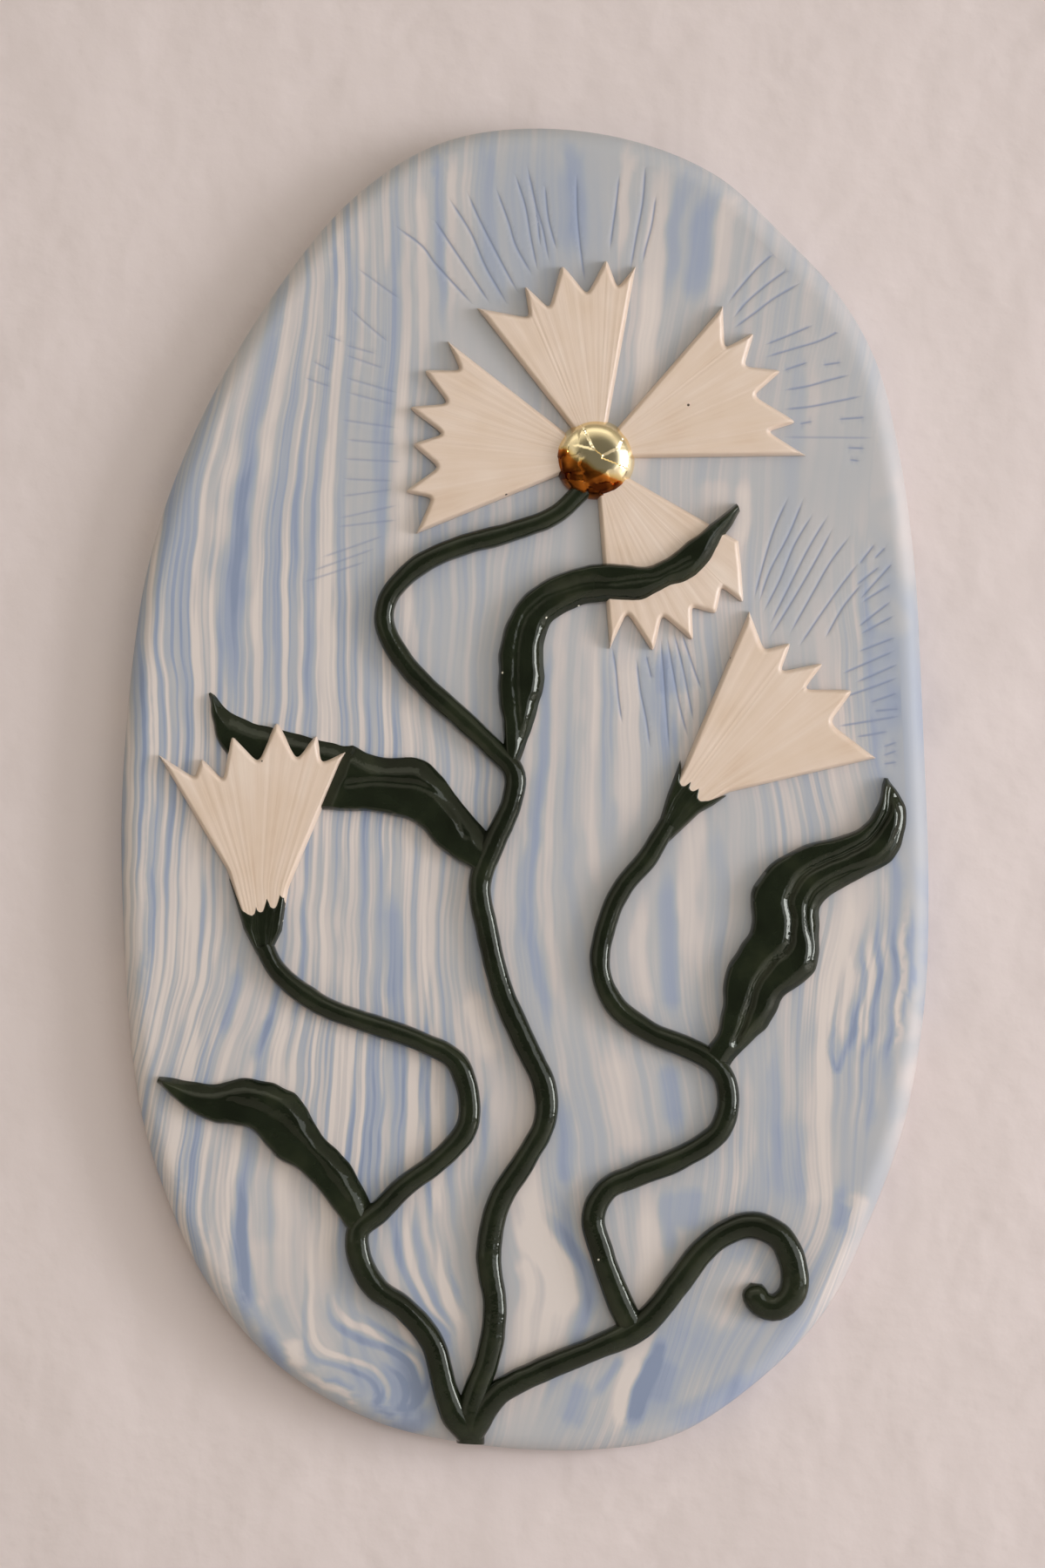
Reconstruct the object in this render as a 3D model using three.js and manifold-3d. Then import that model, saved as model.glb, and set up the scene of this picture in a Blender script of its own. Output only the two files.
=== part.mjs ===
// Decorative wall plaque: an oval slab of marbled porcelain with a flowering plant laid on its face.
// Everything is modelled lying down, x right, y up the plaque and z out of its face.
// The group is then stood up, so that the plaque faces -Y with its flat back on the plane y = 0.
import * as THREE from "three";
import Module from "manifold-3d";

const wasm = await Module();
wasm.setup();

// Slab, in millimetres
const plaqueHeight = 300;
const plaqueWidth = 183.3;
const slabThickness = 11;
const frontRoundingReach = 5;
const frontRoundingDepth = 4;
const backRounding = 1.2;
const outlineSides = 88;
const roundingSteps = 4;

// Hanging recess, a blind pocket in the back
const recessWidth = 26;
const recessHeight = 12;
const recessDepth = 6;
const recessRoofBelowTop = 44;
const recessOvershoot = 1;

// Relief on the face: how far each kind of piece stands out, and the joint left between pieces
const jointGap = 0.3;
const stemRootWidth = 5.4;
const stemTipWidth = 3.9;
const tendrilRootWidth = 5.2;
const tendrilTipWidth = 6.2;
const stemRise = 3.6;
const stemWallShare = 0.5;
const leafRise = 3.3;
const leafOverPetalRise = 4.5;
const leafUnderFlowerRise = 1.2;
const leafWallShare = 0.75;
const leafGrooveShare = 0.22;
const petalRise = 2.6;
const petalRimRise = 2.1;
const petalPleat = 0.2;
const goldDiameter = 17.8;
const goldRise = 5.2;
const goldTiers = [[1, 0.08], [0.94, 0.42], [0.8, 0.72], [0.52, 0.9], [0.24, 1]];
const goldCrumple = 0.05;
const crumplePhases = { around: 2.4, upward: 1.7, lift: 3.1 };
const petalReachUnderGold = 1;
const petalRimStart = 2 / 3;

// How finely curves are stepped
const sharpestTurn = THREE.MathUtils.degToRad(15);
const longestStep = 10;
const edgeStep = 0.9;
const curveSamples = 400;
const shoulderSteps = 6;
const leafSteps = 18;
const shortestShare = 0.005;
const roundEndSteps = 4;
const bluntShare = 0.1;
const leafColumns = 10;
const goldSides = 14;

// Places on the face are percent of the plaque's half width to the right and of its half height up.
const outlinePlaces = [
  [-0.6, 100], [-22.2, 97.5], [-43.4, 89], [-64.3, 73.1], [-82.4, 53.4], [-93.5, 33.6], [-99.1, 7.4],
  [-100, -12.4], [-96.3, -45.2], [-90.1, -59.7], [-78.7, -74.8], [-60.9, -87.4], [-37.2, -95.7],
  [-11, -99.3], [16.6, -100], [37, -97.8], [59.6, -88.6], [75.3, -78.1], [85.6, -64.9], [94, -50.5],
  [99.1, -32.1], [100, -12.4], [98.7, 7.4], [96.6, 33.6], [92.5, 51.6], [86.9, 64.9], [77.6, 74.9],
  [64.1, 83.7], [47.7, 92.8], [25.2, 98.4],
];
const goldPlace = [17.2, 49.7];

// Stems run from their root to the flower or curl that ends them.
const middleStemRoute = [
  [-13.5, -98.7], [-12.9, -92.5], [-8.8, -84.9], [-7.5, -78.1], [-9, -70.2], [-6.5, -62.3],
  [-0.4, -56.2], [4.9, -49.9], [4.7, -44.8], [0.2, -38.6], [-5.6, -30.6], [-9.2, -21.8],
  [-11.2, -14.3], [-8.2, -8.8], [-3.2, -1.6], [-2.8, 2.6], [-7.7, 6], [-15.5, 10.5], [-23.9, 15.1],
  [-30.5, 19.7], [-34.6, 24.6], [-34.2, 28.3], [-30.5, 31.5], [-24.9, 34.3], [-15.7, 36.7],
  [-2.8, 38.9], [7.3, 41.3], [15.4, 46.4],
];
const leftStemRoute = [
  [-13.8, -96.9], [-17.4, -94.3], [-20, -89.9], [-22.8, -83.6], [-29.7, -78.3], [-36.8, -75.2],
  [-40.9, -70.6], [-41.1, -66.4], [-35.7, -63.5], [-30.3, -60.1], [-21.9, -56.2], [-14.8, -51.5],
  [-13.8, -46.9], [-17, -41.1], [-25.4, -38.1], [-37.2, -35.5], [-48, -33.2], [-55.7, -30.4],
  [-61.7, -26.9], [-66, -21.6],
];
const tendrilRoute = [
  [-13.3, -96.9], [-7.1, -91.3], [4.3, -87.5], [17.4, -84.2], [28.8, -80.8], [37.2, -74.8],
  [43.7, -69.6], [49.7, -66.8], [56.1, -65.7], [62.6, -67.4], [66.2, -71.7], [65.8, -76.1],
  [61.7, -78.1], [57.8, -77.3], [55.7, -74.4],
];
const rightStemRoute = [
  [26, -80.6], [23.4, -77.3], [19.1, -70.2], [16.8, -64.3], [20, -60.4], [27.3, -58.2],
  [39.1, -55.3], [48, -51.4], [50.1, -46.3], [47.5, -41.8], [40.9, -39.2], [30.5, -36.5],
  [22.2, -32.5], [18.5, -26.9], [20, -20.5], [23.9, -15], [30.3, -10.2], [36.3, -4.5],
];

// A leaf lies between two edges that run from its root, on the middle line of its stem, to its tip. Its
// grooves are shares of the way from the first edge to the second, and its rises are pairs of a share of
// its length and a height.
const topLeaf = {
  edges: [
    [[-4.9, 4], [-5.6, 9.2], [-6.7, 15.2], [-5.4, 23.9], [-0.6, 29], [6.9, 32.1], [18.5, 34],
      [31.4, 33.8], [40.2, 37.3], [52, 43]],
    [[-2.4, 2.2], [2.6, 11], [4.7, 16.4], [4.5, 21.2], [6.7, 25.2], [16.3, 28.1], [28.4, 28.4],
      [35.9, 30.5], [42.4, 32.1], [52.9, 41.8]],
  ],
  grooves: [0.55],
  rises: [
    [0, leafRise], [0.5, leafRise], [0.64, leafOverPetalRise], [0.92, leafOverPetalRise], [1, leafRise],
  ],
};
const rightLeaf = {
  edges: [
    [[43.2, -40.1], [47.5, -36.5], [49.9, -26.9], [55.7, -20.9], [55.9, -15.4], [60.6, -11.4],
      [68.8, -8.4], [77.8, -7.1], [82.8, -5.7], [86.9, -2.4], [88.8, 1.7]],
    [[48.7, -43.8], [52.3, -40.2], [60.6, -35.1], [63.9, -31.3], [71.4, -27.5], [72.7, -22.9],
      [72.9, -17.6], [81.9, -13.7], [91, -10.4], [94, -3.4], [89.7, 1.7]],
  ],
  grooves: [0.5, 0.78],
  rises: [[0, leafRise], [1, leafRise]],
};
const upperLeftLeaf = {
  edges: [
    [[-7.4, -7.8], [-16.6, -1.4], [-20.6, 2.1], [-25.6, 4.5], [-36.5, 4.9], [-42.3, 6.6],
      [-58.5, 9.3], [-68.4, 10.8], [-73.3, 12.4], [-77.2, 14.7]],
    [[-10.9, -12.9], [-16.3, -11], [-21.5, -8.7], [-27.1, -5.1], [-37.5, -3.5], [-49.7, -3.1],
      [-58.6, -1.8], [-67.3, 1.7], [-75.5, 6.6], [-78.5, 14.3]],
  ],
  grooves: [0.45],
  rises: [[0, leafRise], [0.555, leafRise], [0.57, leafUnderFlowerRise], [1, leafUnderFlowerRise]],
};
const lowerLeftLeaf = {
  edges: [
    [[-36.8, -64.1], [-43.4, -56.4], [-50.1, -52.2], [-55.5, -46.8], [-61.9, -44.4], [-69.5, -43.6],
      [-76.1, -44.4], [-81.9, -44.2], [-86.7, -43.6], [-90.3, -43.4]],
    [[-41, -68.6], [-48, -62.7], [-55.5, -57.6], [-61.9, -55.1], [-67.3, -51.5], [-72, -50.6],
      [-77, -50.2], [-81.9, -48.8], [-86.7, -46.5], [-90.8, -44.3]],
  ],
  grooves: [0.5],
  rises: [[0, leafRise], [1, leafRise]],
};

// A petal spreads from the gold centre, where its sides leave at two angles in degrees from the right,
// to a zigzag rim of tips and notches in turn.
const petals = {
  left_petal: {
    sides: [136, 205],
    rim: [[-19.1, 67.5], [-15.9, 63.1], [-25.2, 63.2], [-18.9, 58.1], [-29, 57.6], [-20.2, 53.5],
      [-28, 52], [-21.3, 48.5], [-29.9, 44.8], [-23, 43.9], [-26.9, 38.5]],
  },
  top_petal: {
    sides: [126, 66],
    rim: [[-11.8, 72.5], [1.1, 71], [-0.2, 76], [6, 72.4], [9, 79.2], [15.3, 74.5], [20, 80],
      [22.8, 75.6], [27.3, 78.8]],
  },
  right_petal: {
    sides: [57, 3],
    rim: [[48.8, 72.8], [49.2, 66.4], [56.6, 68.9], [54, 63.7], [63.4, 63.1], [56.3, 59.3],
      [67.1, 55.3], [59.8, 53.9], [69.2, 50.3]],
  },
  lower_petal: {
    sides: [-86, -28],
    rim: [[20.9, 21.2], [25.2, 26.7], [31.6, 20.5], [33.8, 26.3], [41.5, 22.2], [41.1, 27.5],
      [47.1, 26.4], [47.5, 30.5], [53.1, 28.6], [53.1, 33.6]],
  },
};

// A flower seen from the side widens from the end of its stem, past the cup of sepals, to a zigzag rim.
const flowers = {
  left_flower: {
    root: [[-66.7, -24.4], [-61.9, -24.2]],
    cup: [[-69.2, -21], [-60.2, -21.3]],
    waist: [[-73.3, -12.4], [-58.3, -14.7]],
    rim: [[-90.3, 5.1], [-81.5, 1.7], [-79.8, 4.7], [-74.4, 1.3], [-72.5, 8.4], [-65.8, 4.1],
      [-61.3, 10.4], [-56.3, 4.6], [-51.4, 8.3], [-50.1, 4.1], [-44.1, 5.7]],
  },
  right_flower: {
    root: [[32, -5.5], [36.8, -6.6]],
    cup: [[35.3, -0.8], [42.8, -3.4]],
    waist: [[39.1, 3.4], [49.9, -0.5]],
    rim: [[55.3, 26.8], [58.9, 21], [65.6, 22.1], [63, 17.7], [73.8, 19.1], [68.8, 15], [81.1, 15],
      [75.1, 10], [86.5, 4.7]],
  },
};

const upwards = new THREE.Vector3(0, 0, 1);
const at = ([across, up]) =>
  new THREE.Vector3((across / 200) * plaqueWidth, (up / 200) * plaqueHeight, 0);
const curveThrough = (places, closed = false) =>
  new THREE.CatmullRomCurve3(places.map(at), closed, "centripetal");
const sideways = (direction) => new THREE.Vector3(direction.y, -direction.x, 0).normalize();
const lifted = (point, height) => new THREE.Vector3(point.x, point.y, height);
const goldSpoke = (degrees, reach) =>
  new THREE.Vector3(reach, 0, 0)
    .applyAxisAngle(upwards, THREE.MathUtils.degToRad(degrees))
    .add(at(goldPlace));

// The oval, stretched the last fraction of a millimetre to the exact height and width, anticlockwise.
const outline = curveThrough(outlinePlaces, true).getSpacedPoints(outlineSides).slice(0, outlineSides);
const drawnBox = new THREE.Box3().setFromPoints(outline);
const drawnSize = drawnBox.getSize(new THREE.Vector3());
const drawnMiddle = drawnBox.getCenter(new THREE.Vector3());
outline.forEach((point) => {
  point.sub(drawnMiddle);
  point.multiply(new THREE.Vector3(plaqueWidth / drawnSize.x, plaqueHeight / drawnSize.y, 1));
});

// The outline drawn in by a distance
function drawnIn(distance) {
  return outline.map((point, i) => {
    const before = outline[(i + outline.length - 1) % outline.length];
    const after = outline[(i + 1) % outline.length];
    return point.clone().addScaledVector(sideways(after.clone().sub(before)), -distance);
  });
}

// How high the front of the slab lies at a place, which falls away over the rounded edge
function faceHeight(point) {
  const side = new THREE.Line3();
  const nearest = new THREE.Vector3();
  let inward = frontRoundingReach;
  outline.forEach((corner, i) => {
    side.set(corner, outline[(i + 1) % outline.length]).closestPointToPoint(point, true, nearest);
    inward = Math.min(inward, nearest.distanceTo(point));
  });
  const slope = Math.sin(Math.acos(1 - inward / frontRoundingReach));
  return slabThickness - frontRoundingDepth * (1 - slope);
}

// A closed body through rings of equally many points, each end closed by triangles from side to side
function loft(rings) {
  const around = rings[0].length;
  const points = rings.flat();
  const faces = [];
  for (let ring = 0; ring + 1 < rings.length; ring += 1)
    for (let i = 0; i < around; i += 1) {
      const [a, b] = [ring * around + i, ring * around + ((i + 1) % around)];
      faces.push([a, b, b + around], [a, b + around, a + around]);
    }
  const cap = [];
  for (let i = 0, j = around - 1; i + 1 < j; i += 1, j -= 1) {
    cap.push([i, i + 1, j]);
    if (i + 1 < j - 1) cap.push([i + 1, j - 1, j]);
  }
  const last = points.length - around;
  faces.push(...cap.map((face) => face.toReversed()), ...cap.map((face) => face.map((i) => i + last)));
  const volume = faces.reduce(
    (sum, [a, b, c]) => sum + points[a].dot(points[b].clone().cross(points[c])), 0);
  if (volume < 0) faces.forEach((face) => face.reverse());
  return new THREE.BufferGeometry().setFromPoints(points).setIndex(faces.flat());
}

// A relief from its cross-sections, whose points carry their rise over the face as z.
// A section that is straight in plan stands on its two ends, a bent one on every point.
const twoFeet = (section) => [section.at(-1), section[0]];
const manyFeet = (section) => section.toReversed();
const standing = (sections, feet, seatGap = jointGap) =>
  loft(sections.map((section) => [
    ...section.map((point) => lifted(point, faceHeight(point) + jointGap + point.z)),
    ...feet(section).map((point) => lifted(point, faceHeight(point) + seatGap)),
  ]));

function solidOf(geometry) {
  return new wasm.Manifold(new wasm.Mesh({
    numProp: 3,
    vertProperties: geometry.getAttribute("position").array,
    triVerts: Uint32Array.from(geometry.index.array),
  }));
}

// A block made wider all round by the joint
function widened(block) {
  const corners = [[-1, -1], [1, -1], [1, 1], [-1, 1]];
  return corners.reduce(
    (wide, [x, y]) => wide.add(solidOf(block.clone().translate(x * jointGap, y * jointGap, 0))),
    solidOf(block));
}

// The straight-sided room over a piece's footprint, for cutting back what butts against it
const cutter = (sections) => widened(loft(sections.map((section) => [
  ...section.map((point) => lifted(point, slabThickness + stemRise + goldRise)),
  ...section.toReversed().map((point) => lifted(point, 0)),
])));

// The room that a piece lying under another needs: its own relief, larger by the joint all round
function mould(sections) {
  const raised = sections.map((section) => section.map((point) => lifted(point, point.z + jointGap)));
  const block = standing(raised, manyFeet, 0);
  return widened(block);
}

// Shares along a curve where it needs a point, close together where it bends, over the edge of the
// slab and within the radius of a rounded end
function stations(curve, endRadius) {
  const shares = [0];
  const length = curve.getLength();
  let turned = 0;
  let gone = 0;
  for (let i = 1; i < curveSamples; i += 1) {
    const share = i / curveSamples;
    turned += curve.getTangentAt(share - 1 / curveSamples).angleTo(curve.getTangentAt(share));
    gone += length / curveSamples;
    const flat = faceHeight(curve.getPointAt(share)) === slabThickness;
    const ending = length * (1 - share) < endRadius;
    const allowed = Math.min(flat ? longestStep : edgeStep, ending ? endRadius / roundEndSteps : longestStep);
    if (turned > sharpestTurn || gone > allowed) {
      shares.push(share);
      turned = 0;
      gone = 0;
    }
  }
  return [...shares, 1];
}

// A rolled stem: a strip with a rounded back that narrows or swells evenly, and may have a rounded end
function stemSections(route, rootWidth, tipWidth, roundEnd = false) {
  const curve = curveThrough(route);
  const endRadius = roundEnd ? tipWidth / 2 : 0;
  return stations(curve, endRadius).map((share) => {
    const middle = curve.getPointAt(share);
    const across = sideways(curve.getTangentAt(share));
    const toEnd = curve.getLength() * (1 - share) + endRadius * bluntShare;
    const ending = toEnd < endRadius ? Math.sqrt(1 - (1 - toEnd / endRadius) ** 2) : 1;
    const half = (THREE.MathUtils.lerp(rootWidth, tipWidth, share) / 2) * ending;
    return Array.from({ length: shoulderSteps + 1 }, (_, i) => {
      const angle = (i / shoulderSteps) * Math.PI;
      const crown = stemWallShare + (1 - stemWallShare) * Math.sqrt(Math.sin(angle)) * ending;
      const shoulder = middle.clone().addScaledVector(across, -half * Math.cos(angle));
      return lifted(shoulder, stemRise * crown);
    });
  });
}

// The height that a leaf's list of rises gives at a share of its length
function riseAt(rises, share) {
  const next = Math.max(1, rises.findIndex(([place]) => place >= share));
  const [[from, low], [to, high]] = [rises[next - 1], rises[next]];
  return THREE.MathUtils.mapLinear(share, from, to, low, high);
}

// A leaf: ruled between its edges, rounded down to them, with grooves that run its length
function leafSections({ edges, grooves, rises }) {
  const [first, second] = edges.map((edge) => curveThrough(edge));
  const even = Array.from({ length: leafSteps + 1 }, (_, row) => row / leafSteps);
  const shares = [...even, ...rises.map(([share]) => share)].sort((a, b) => a - b);
  return shares.filter((share, i) => !(share - shares[i - 1] < shortestShare)).map((share) => {
    const [from, to] = [first.getPoint(share), second.getPoint(share)];
    const narrow = Math.min(1, from.distanceTo(to) / stemRootWidth);
    return Array.from({ length: leafColumns + 1 }, (__, column) => {
      const u = column / leafColumns;
      const round = narrow * Math.sqrt(Math.sqrt(4 * u * (1 - u)));
      const groove = grooves.reduce(
        (sum, place) => sum + Math.exp(-(((u - place) * leafColumns) ** 2)), 0);
      const crown = leafWallShare + (1 - leafWallShare) * round - leafGrooveShare * groove * round;
      return lifted(from.clone().lerp(to, u), riseAt(rises, share) * crown);
    });
  });
}

// Points spread evenly along a line
const spread = ([from, to], count) =>
  Array.from({ length: count }, (_, i) => from.clone().lerp(to, i / (count - 1)));

// A petal or a flower seen from the side: straight ribs from line to line, the last line a zigzag rim
function fanSections(lines, rim) {
  const roots = lines.map((line) => spread(line, rim.length));
  return rim.map((place, i) => {
    const pleat = i % 2 ? -petalPleat : petalPleat;
    return [
      ...roots.map((line) => lifted(line[i], petalRise)),
      lifted(roots.at(-1)[i].clone().lerp(at(place), petalRimStart), petalRise + pleat),
      lifted(at(place), petalRimRise + pleat),
    ];
  });
}
const petalSections = ({ sides, rim }) =>
  fanSections([sides.map((side) => goldSpoke(side, goldDiameter / 2 - petalReachUnderGold))], rim);
const flowerSections = ({ root, cup, waist, rim }) =>
  fanSections([root, cup, waist].map((line) => line.map(at)), rim);

// The gold centre: rings of a dome of crumpled facets, and the round room for cutting its neighbours back
const goldRing = (radius, height, phase = 0) =>
  Array.from({ length: goldSides },
    (_, i) => lifted(goldSpoke(((i + phase) / goldSides) * 360, radius), height));
function goldDome() {
  const seat = slabThickness + jointGap;
  const rings = goldTiers.map(([reach, height], tier) => {
    const ring = goldRing((goldDiameter / 2) * reach, seat + goldRise * height, tier / 2);
    ring.slice(0, tier ? goldSides : 0).forEach((point, i) => {
      const crumple = Math.sin(crumplePhases.around * i * (tier + 1) + crumplePhases.upward * tier);
      point.lerp(lifted(at(goldPlace), point.z), goldCrumple * crumple);
      point.z += goldRise * goldCrumple * Math.cos(crumplePhases.lift * i + tier);
    });
    return ring;
  });
  return loft([goldRing(goldDiameter / 2, seat), ...rings]);
}
const goldCutter = solidOf(loft([0, slabThickness + 2 * goldRise].map(
  (height) => goldRing(goldDiameter / 2 + jointGap, height))));

const glaze = (name, color, roughness, metalness = 0) =>
  new THREE.MeshStandardMaterial({ name, color, roughness, metalness });
const marbledPorcelain = glaze("marbled porcelain", "#a9b1c0", 0.35);
const creamPorcelain = glaze("cream porcelain", "#d8c7ba", 0.4);
const darkGreenGlaze = glaze("dark green glaze", "#1e291f", 0.12);
const goldLustre = glaze("gold lustre", "#c98f35", 0.2, 1);

const plaque = new THREE.Group();
function addPiece(name, solid, material) {
  const { vertProperties, triVerts } = solid.getMesh();
  const geometry = new THREE.BufferGeometry();
  geometry.setAttribute("position", new THREE.BufferAttribute(vertProperties, 3));
  geometry.setIndex(new THREE.BufferAttribute(triVerts, 1));
  geometry.computeVertexNormals();
  const piece = new THREE.Mesh(geometry, material);
  piece.name = name;
  plaque.add(piece);
}

// Slab with its hanging recess
function slabSolid() {
  const rings = [
    drawnIn(backRounding),
    outline.map((point) => lifted(point, backRounding)),
  ];
  for (let step = 0; step <= roundingSteps; step += 1) {
    const angle = (step / roundingSteps) * (Math.PI / 2);
    const height = slabThickness - frontRoundingDepth * (1 - Math.sin(angle));
    rings.push(drawnIn(frontRoundingReach * (1 - Math.cos(angle)))
      .map((point) => lifted(point, height)));
  }
  const left = -recessWidth / 2;
  const top = plaqueHeight / 2 - recessRoofBelowTop;
  const corners = [[left, top], [-left, top], [-left, top - recessHeight], [left, top - recessHeight]];
  const pocket = [-recessOvershoot, recessDepth].map((level) =>
    corners.map(([x, y]) => new THREE.Vector3(x, y, level)));
  return solidOf(loft(rings)).subtract(solidOf(loft(pocket)));
}
addPiece("slab", slabSolid(), marbledPorcelain);

const middleStem = stemSections(middleStemRoute, stemRootWidth, stemTipWidth);
const leftStem = stemSections(leftStemRoute, stemRootWidth, stemTipWidth);
const rightStem = stemSections(rightStemRoute, stemRootWidth, stemTipWidth);
const tendril = stemSections(tendrilRoute, tendrilRootWidth, tendrilTipWidth, true);
const upperLeft = leafSections(upperLeftLeaf);
const lowerPetal = petalSections(petals.lower_petal);
const leftFlower = flowerSections(flowers.left_flower);
const rightFlower = flowerSections(flowers.right_flower);

const cutBack = (solid, cutters) => cutters.reduce((rest, tool) => rest.subtract(tool), solid);
const strip = (sections, ...cutters) => cutBack(solidOf(standing(sections, twoFeet)), cutters);
const fan = (sections, ...cutters) => cutBack(solidOf(standing(sections, manyFeet)), cutters);

// Stems and leaves
const middleCutter = cutter(middleStem);
addPiece("middle_stem", strip(middleStem, goldCutter), darkGreenGlaze);
addPiece("left_stem", strip(leftStem, middleCutter, cutter(leftFlower)), darkGreenGlaze);
addPiece("tendril", strip(tendril, middleCutter), darkGreenGlaze);
addPiece("right_stem", strip(rightStem, cutter(tendril), cutter(rightFlower)), darkGreenGlaze);
addPiece("top_leaf", strip(leafSections(topLeaf), middleCutter, mould(lowerPetal)), darkGreenGlaze);
addPiece("upper_left_leaf", strip(upperLeft, middleCutter), darkGreenGlaze);
addPiece("right_leaf", strip(leafSections(rightLeaf), cutter(rightStem)), darkGreenGlaze);
addPiece("lower_left_leaf", strip(leafSections(lowerLeftLeaf), cutter(leftStem)), darkGreenGlaze);

// Flowers
Object.entries(petals).forEach(
  ([name, petal]) => addPiece(name, fan(petalSections(petal), goldCutter), creamPorcelain));
addPiece("left_flower", fan(leftFlower, mould(upperLeft)), creamPorcelain);
addPiece("right_flower", fan(rightFlower), creamPorcelain);
addPiece("gold_centre", solidOf(goldDome()), goldLustre);

plaque.rotation.x = Math.PI / 2;
export default plaque;
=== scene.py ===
import math
import bmesh
import bpy
import numpy as np
from mathutils import Matrix, Vector, geometry, noise


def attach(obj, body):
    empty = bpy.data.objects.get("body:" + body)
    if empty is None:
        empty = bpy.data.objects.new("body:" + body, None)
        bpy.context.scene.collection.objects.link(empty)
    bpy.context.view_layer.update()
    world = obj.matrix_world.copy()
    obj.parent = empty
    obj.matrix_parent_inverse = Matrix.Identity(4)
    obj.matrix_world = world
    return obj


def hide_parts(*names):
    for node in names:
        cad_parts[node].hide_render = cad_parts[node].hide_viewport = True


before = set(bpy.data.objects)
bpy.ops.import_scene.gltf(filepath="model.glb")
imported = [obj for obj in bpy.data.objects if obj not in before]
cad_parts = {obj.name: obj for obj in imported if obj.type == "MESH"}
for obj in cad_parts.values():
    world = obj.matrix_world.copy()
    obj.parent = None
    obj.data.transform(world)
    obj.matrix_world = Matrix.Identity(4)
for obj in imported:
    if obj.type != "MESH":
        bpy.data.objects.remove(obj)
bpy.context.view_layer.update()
noise.seed_set(3)  # unseeded, noise_vector differs from run to run
print("frame loaded")

# Everything is modelled lying down in millimetres, x right, y up the plaque and z out of its face.
# Places are percent of the plaque's half width to the right and of its half height up.
plaque = {
    "width": 183.3, "height": 300.0, "thickness": 11.0,
    "seat": 0.4,  # how deep the applied pieces sit in the slab's face
    "lumps": 0.27,  # lumps of hand-shaped clay to the millimetre
    "sharpAngle": 50,  # edges that turn by more stay crisp
}
standUp = Matrix.Scale(0.001, 4) @ Matrix.Rotation(math.radians(90), 4, "X")


def place(points):
    return np.asarray(points, float) * (plaque["width"] / 200, plaque["height"] / 200)


# A smooth curve through points, as a fine line with the same number of samples between each two
def spline(points, closed=False, samples=24):
    p = np.asarray(points, float)
    ends = [p[-1], p[0], p[1]] if closed else [2 * p[0] - p[1], 2 * p[-1] - p[-2]]
    p = np.vstack([ends[0], p, *ends[1:]])
    line = []
    for a, b, c, d in zip(p, p[1:], p[2:], p[3:]):
        gaps = [max(1e-6, np.linalg.norm(f - g)) ** 0.5 for f, g in ((a, b), (b, c), (c, d))]
        t0, t1, t2, t3 = np.cumsum([0] + gaps)
        t = np.linspace(t1, t2, samples, endpoint=False)[:, None]
        ab = a + (b - a) * (t - t0) / (t1 - t0)
        bc = b + (c - b) * (t - t1) / (t2 - t1)
        cd = c + (d - c) * (t - t2) / (t3 - t2)
        abc = ab + (bc - ab) * (t - t0) / (t2 - t0)
        bcd = bc + (cd - bc) * (t - t1) / (t3 - t1)
        line.append(abc + (bcd - abc) * (t - t1) / (t2 - t1))
    return np.vstack(line + ([] if closed else [p[-2][None]]))


def lengths(line):
    return np.concatenate([[0], np.cumsum(np.linalg.norm(np.diff(line, axis=0), axis=1))])


# Points along a line at shares of its length, or of its samples
def along(line, shares, byLength=True):
    where = lengths(line) if byLength else np.arange(len(line), dtype=float)
    return np.stack([np.interp(shares * where[-1], where, line[:, k]) for k in (0, 1)], -1)


# Distance of each point from a line, and how far along the line it is; only points within reach count
def nearest(points, line, reach=1e3):
    best, share = np.full(len(points), 1e6), np.zeros(len(points))
    near = np.flatnonzero(((points > line.min(0) - reach) & (points < line.max(0) + reach)).all(1))
    p, close, at = points[near], best[near], share[near]
    for i, (start, end) in enumerate(zip(line, line[1:])):
        d = end - start
        t = np.clip((p - start) @ d / max(d @ d, 1e-12), 0, 1)
        gap = np.linalg.norm(p - start - t[:, None] * d, axis=1)
        at = np.where(gap < close, (i + t) / (len(line) - 1), at)
        close = np.minimum(close, gap)
    best[near], share[near] = close, at
    return best, share


# An sRGB hex colour as linear RGBA
def linear(hexText):
    values = [int(hexText[i:i + 2], 16) / 255 for i in (1, 3, 5)]
    return [v / 12.92 if v <= 0.04045 else ((v + 0.055) / 1.055) ** 2.4 for v in values] + [1]


def addNode(tree, kind, links=None, stops=(), **settings):
    node = tree.nodes.new("ShaderNode" + kind)
    for key, value in settings.items():
        setattr(node, key, value)
    for _ in stops[2:]:
        node.color_ramp.elements.new(0.5)
    for k, (position, colour) in enumerate(stops):
        node.color_ramp.elements[k].position = position
        node.color_ramp.elements[k].color = linear(colour)
    for socket, source in (links or {}).items():
        if isinstance(source, bpy.types.NodeSocket):
            tree.links.new(source, node.inputs[socket])
        else:
            node.inputs[socket].default_value = source
    return node


def newMaterial(name, **surface):
    material = bpy.data.materials.new(name)
    material.use_nodes = True
    shader = material.node_tree.nodes["Principled BSDF"]
    for socket, value in surface.items():
        shader.inputs[socket.replace("_", " ")].default_value = value
    return material.node_tree, shader, material


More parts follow.
